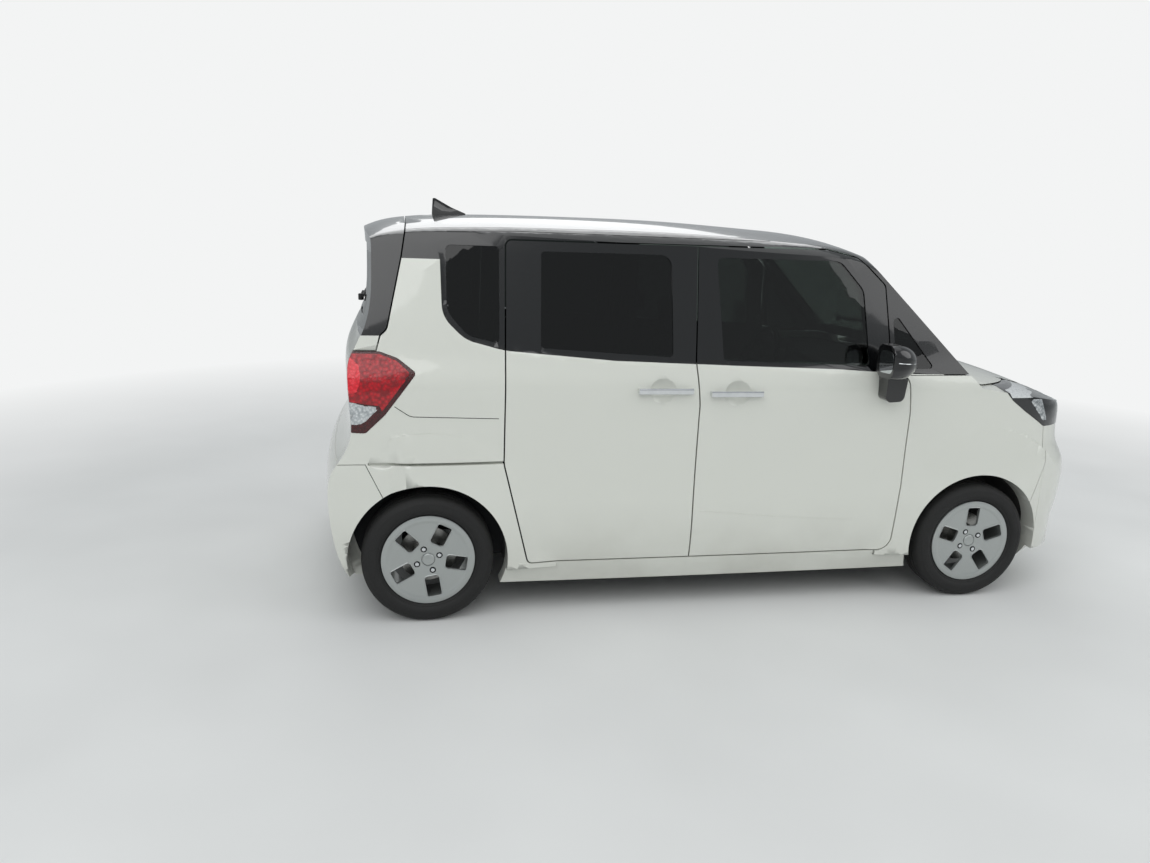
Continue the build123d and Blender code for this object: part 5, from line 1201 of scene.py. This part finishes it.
# %% Mirrors, reflectors, brake lamp
MIRROR_GLASS = ((840, 1098, 24), (838, 1192, 30), (944, 1196, 30), (946, 1104, 24))
STRIP, STRIP_RADIUS = ((668, 1152, 0), (762, 1146, 0)), 2.2
REFLECTOR = ((520, 452, 8), (520, 480, 8), (640, 480, 8), (640, 452, 8))
DAY_LAMP = (560, 360, 34)
for side, sign in SIDES.items():
    outline = [(sign * left, up, radius) for left, up, radius in MIRROR_GLASS]
    patch("mirror_" + side, outline, mirror_glass, "mirror_glass_" + side, (600, 690), 1.0, True)
    bar_on("mirror_" + side, STRIP, sign, STRIP_RADIUS, chrome, "mirror_strip_" + side, closed=False)
    reflector = [(sign * left, up, radius) for left, up, radius in REFLECTOR]
    patch("rear_bumper", reflector, bright_lens, "rear_reflector_" + side, (-2200, -1300), 1.2, True)
    lamp = circle(sign * DAY_LAMP[0], *DAY_LAMP[1:])
    patch("front_bumper", lamp, lamp_silver, "day_lamp_" + side, (1400, 2200), 1.0, True)
print("mirrors, reflectors and day lamps are in")

# %% Belts and the dashboard's screen
BUCKLE, BUCKLE_PLACE = Vector((0.035, 0.02, 0.055)), (70, 168, 545)
BELT_WIDTH, BELT_THICK = 0.045, 0.0012
BELT = ((-150, 560, 1120), (-105, 470, 1080), (60, 330, 700), (70, 180, 560))
SCREEN, SCREEN_PLACE = Vector((0.02, 0.24, 0.14)), (655, 0, 985)


def strap(points, width, name, body):
    """A flat belt along points: a thin box for each length, joined."""
    lengths = []
    for start, end in zip(points, points[1:]):
        run = end - start
        piece = box(Vector((0, 0, 0)), Vector((width, BELT_THICK, run.length + 0.004)))
        turn_to = run.to_track_quat("Z", "Y").to_matrix().to_4x4()
        piece.data.transform(Matrix.Translation((start + end) / 2) @ turn_to)
        lengths.append(piece)
    return settle(join(lengths), name, belt_web, body)


for side, sign in SIDES.items():
    body = nodes["front_seats"]["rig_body"]
    points = [spot(ahead, sign * out, up) for ahead, out, up in BELT]
    strap(points, BELT_WIDTH, "belt_" + side, body)
    ahead, out, up = BUCKLE_PLACE
    settle(box(spot(ahead, sign * out, up), BUCKLE, 0.006), "buckle_" + side, black_plastic, body)
dashboard_body = nodes["dashboard"]["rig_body"]
screen = box(spot(*SCREEN_PLACE), SCREEN, 0.004)
settle(screen, "dashboard_screen", gloss_plastic, dashboard_body)
print("belts and screen are in")

# %% Door cards
ARMREST_DEPTH, ARMREST_HEIGHT, ARMREST_OUT = 50, 46, 0.42
SPEAKER_RADIUS, SPEAKER_RIM, SPEAKER_UP = 78, 6, 450
PULL, PULL_RADIUS = ((-0.06, 0), (-0.05, 0.02), (0.02, 0.022), (0.03, 0)), 0.006
# Columns: door, side, rear and front end of its armrest, height of it, place of the speaker
CARDS = (
    ("front_door_right", -1, -40, 330, 740, 440),
    ("front_door_left", 1, -40, 330, 740, 440),
    ("slide_door", -1, -600, -330, 760, -300),
    ("rear_door_left", 1, -600, -330, 760, -300),
)
for node, sign, rear, front, height, speaker in CARDS:
    body = nodes[node]["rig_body"]
    place = touch(node, spot((rear + front) / 2, 0, height), (0, sign, 0))[0]
    size = Vector((front - rear, ARMREST_DEPTH, ARMREST_HEIGHT)) * MM
    rest = box(place - Vector((0, sign * ARMREST_DEPTH * ARMREST_OUT * MM, 0)), size, 0.014)
    settle(rest, node + "_armrest", grey_plastic, body)
    place = touch(node, spot(front - 40, 0, height + 130), (0, sign, 0))[0]
    grip = [place + Vector((reach, -sign * out, 0)) for reach, out in PULL]
    settle(rod(grip, PULL_RADIUS), node + "_latch_pull", chrome, body)
    place = touch(node, spot(speaker, 0, SPEAKER_UP), (0, sign, 0))[0]
    deselect()
    bpy.ops.mesh.primitive_torus_add(
        major_radius=SPEAKER_RADIUS * MM, minor_radius=SPEAKER_RIM * MM, major_segments=64,
        location=place, rotation=(pi / 2, 0, 0),
    )
    settle(bpy.context.object, node + "_speaker", black_plastic, body)
print("doors are trimmed")
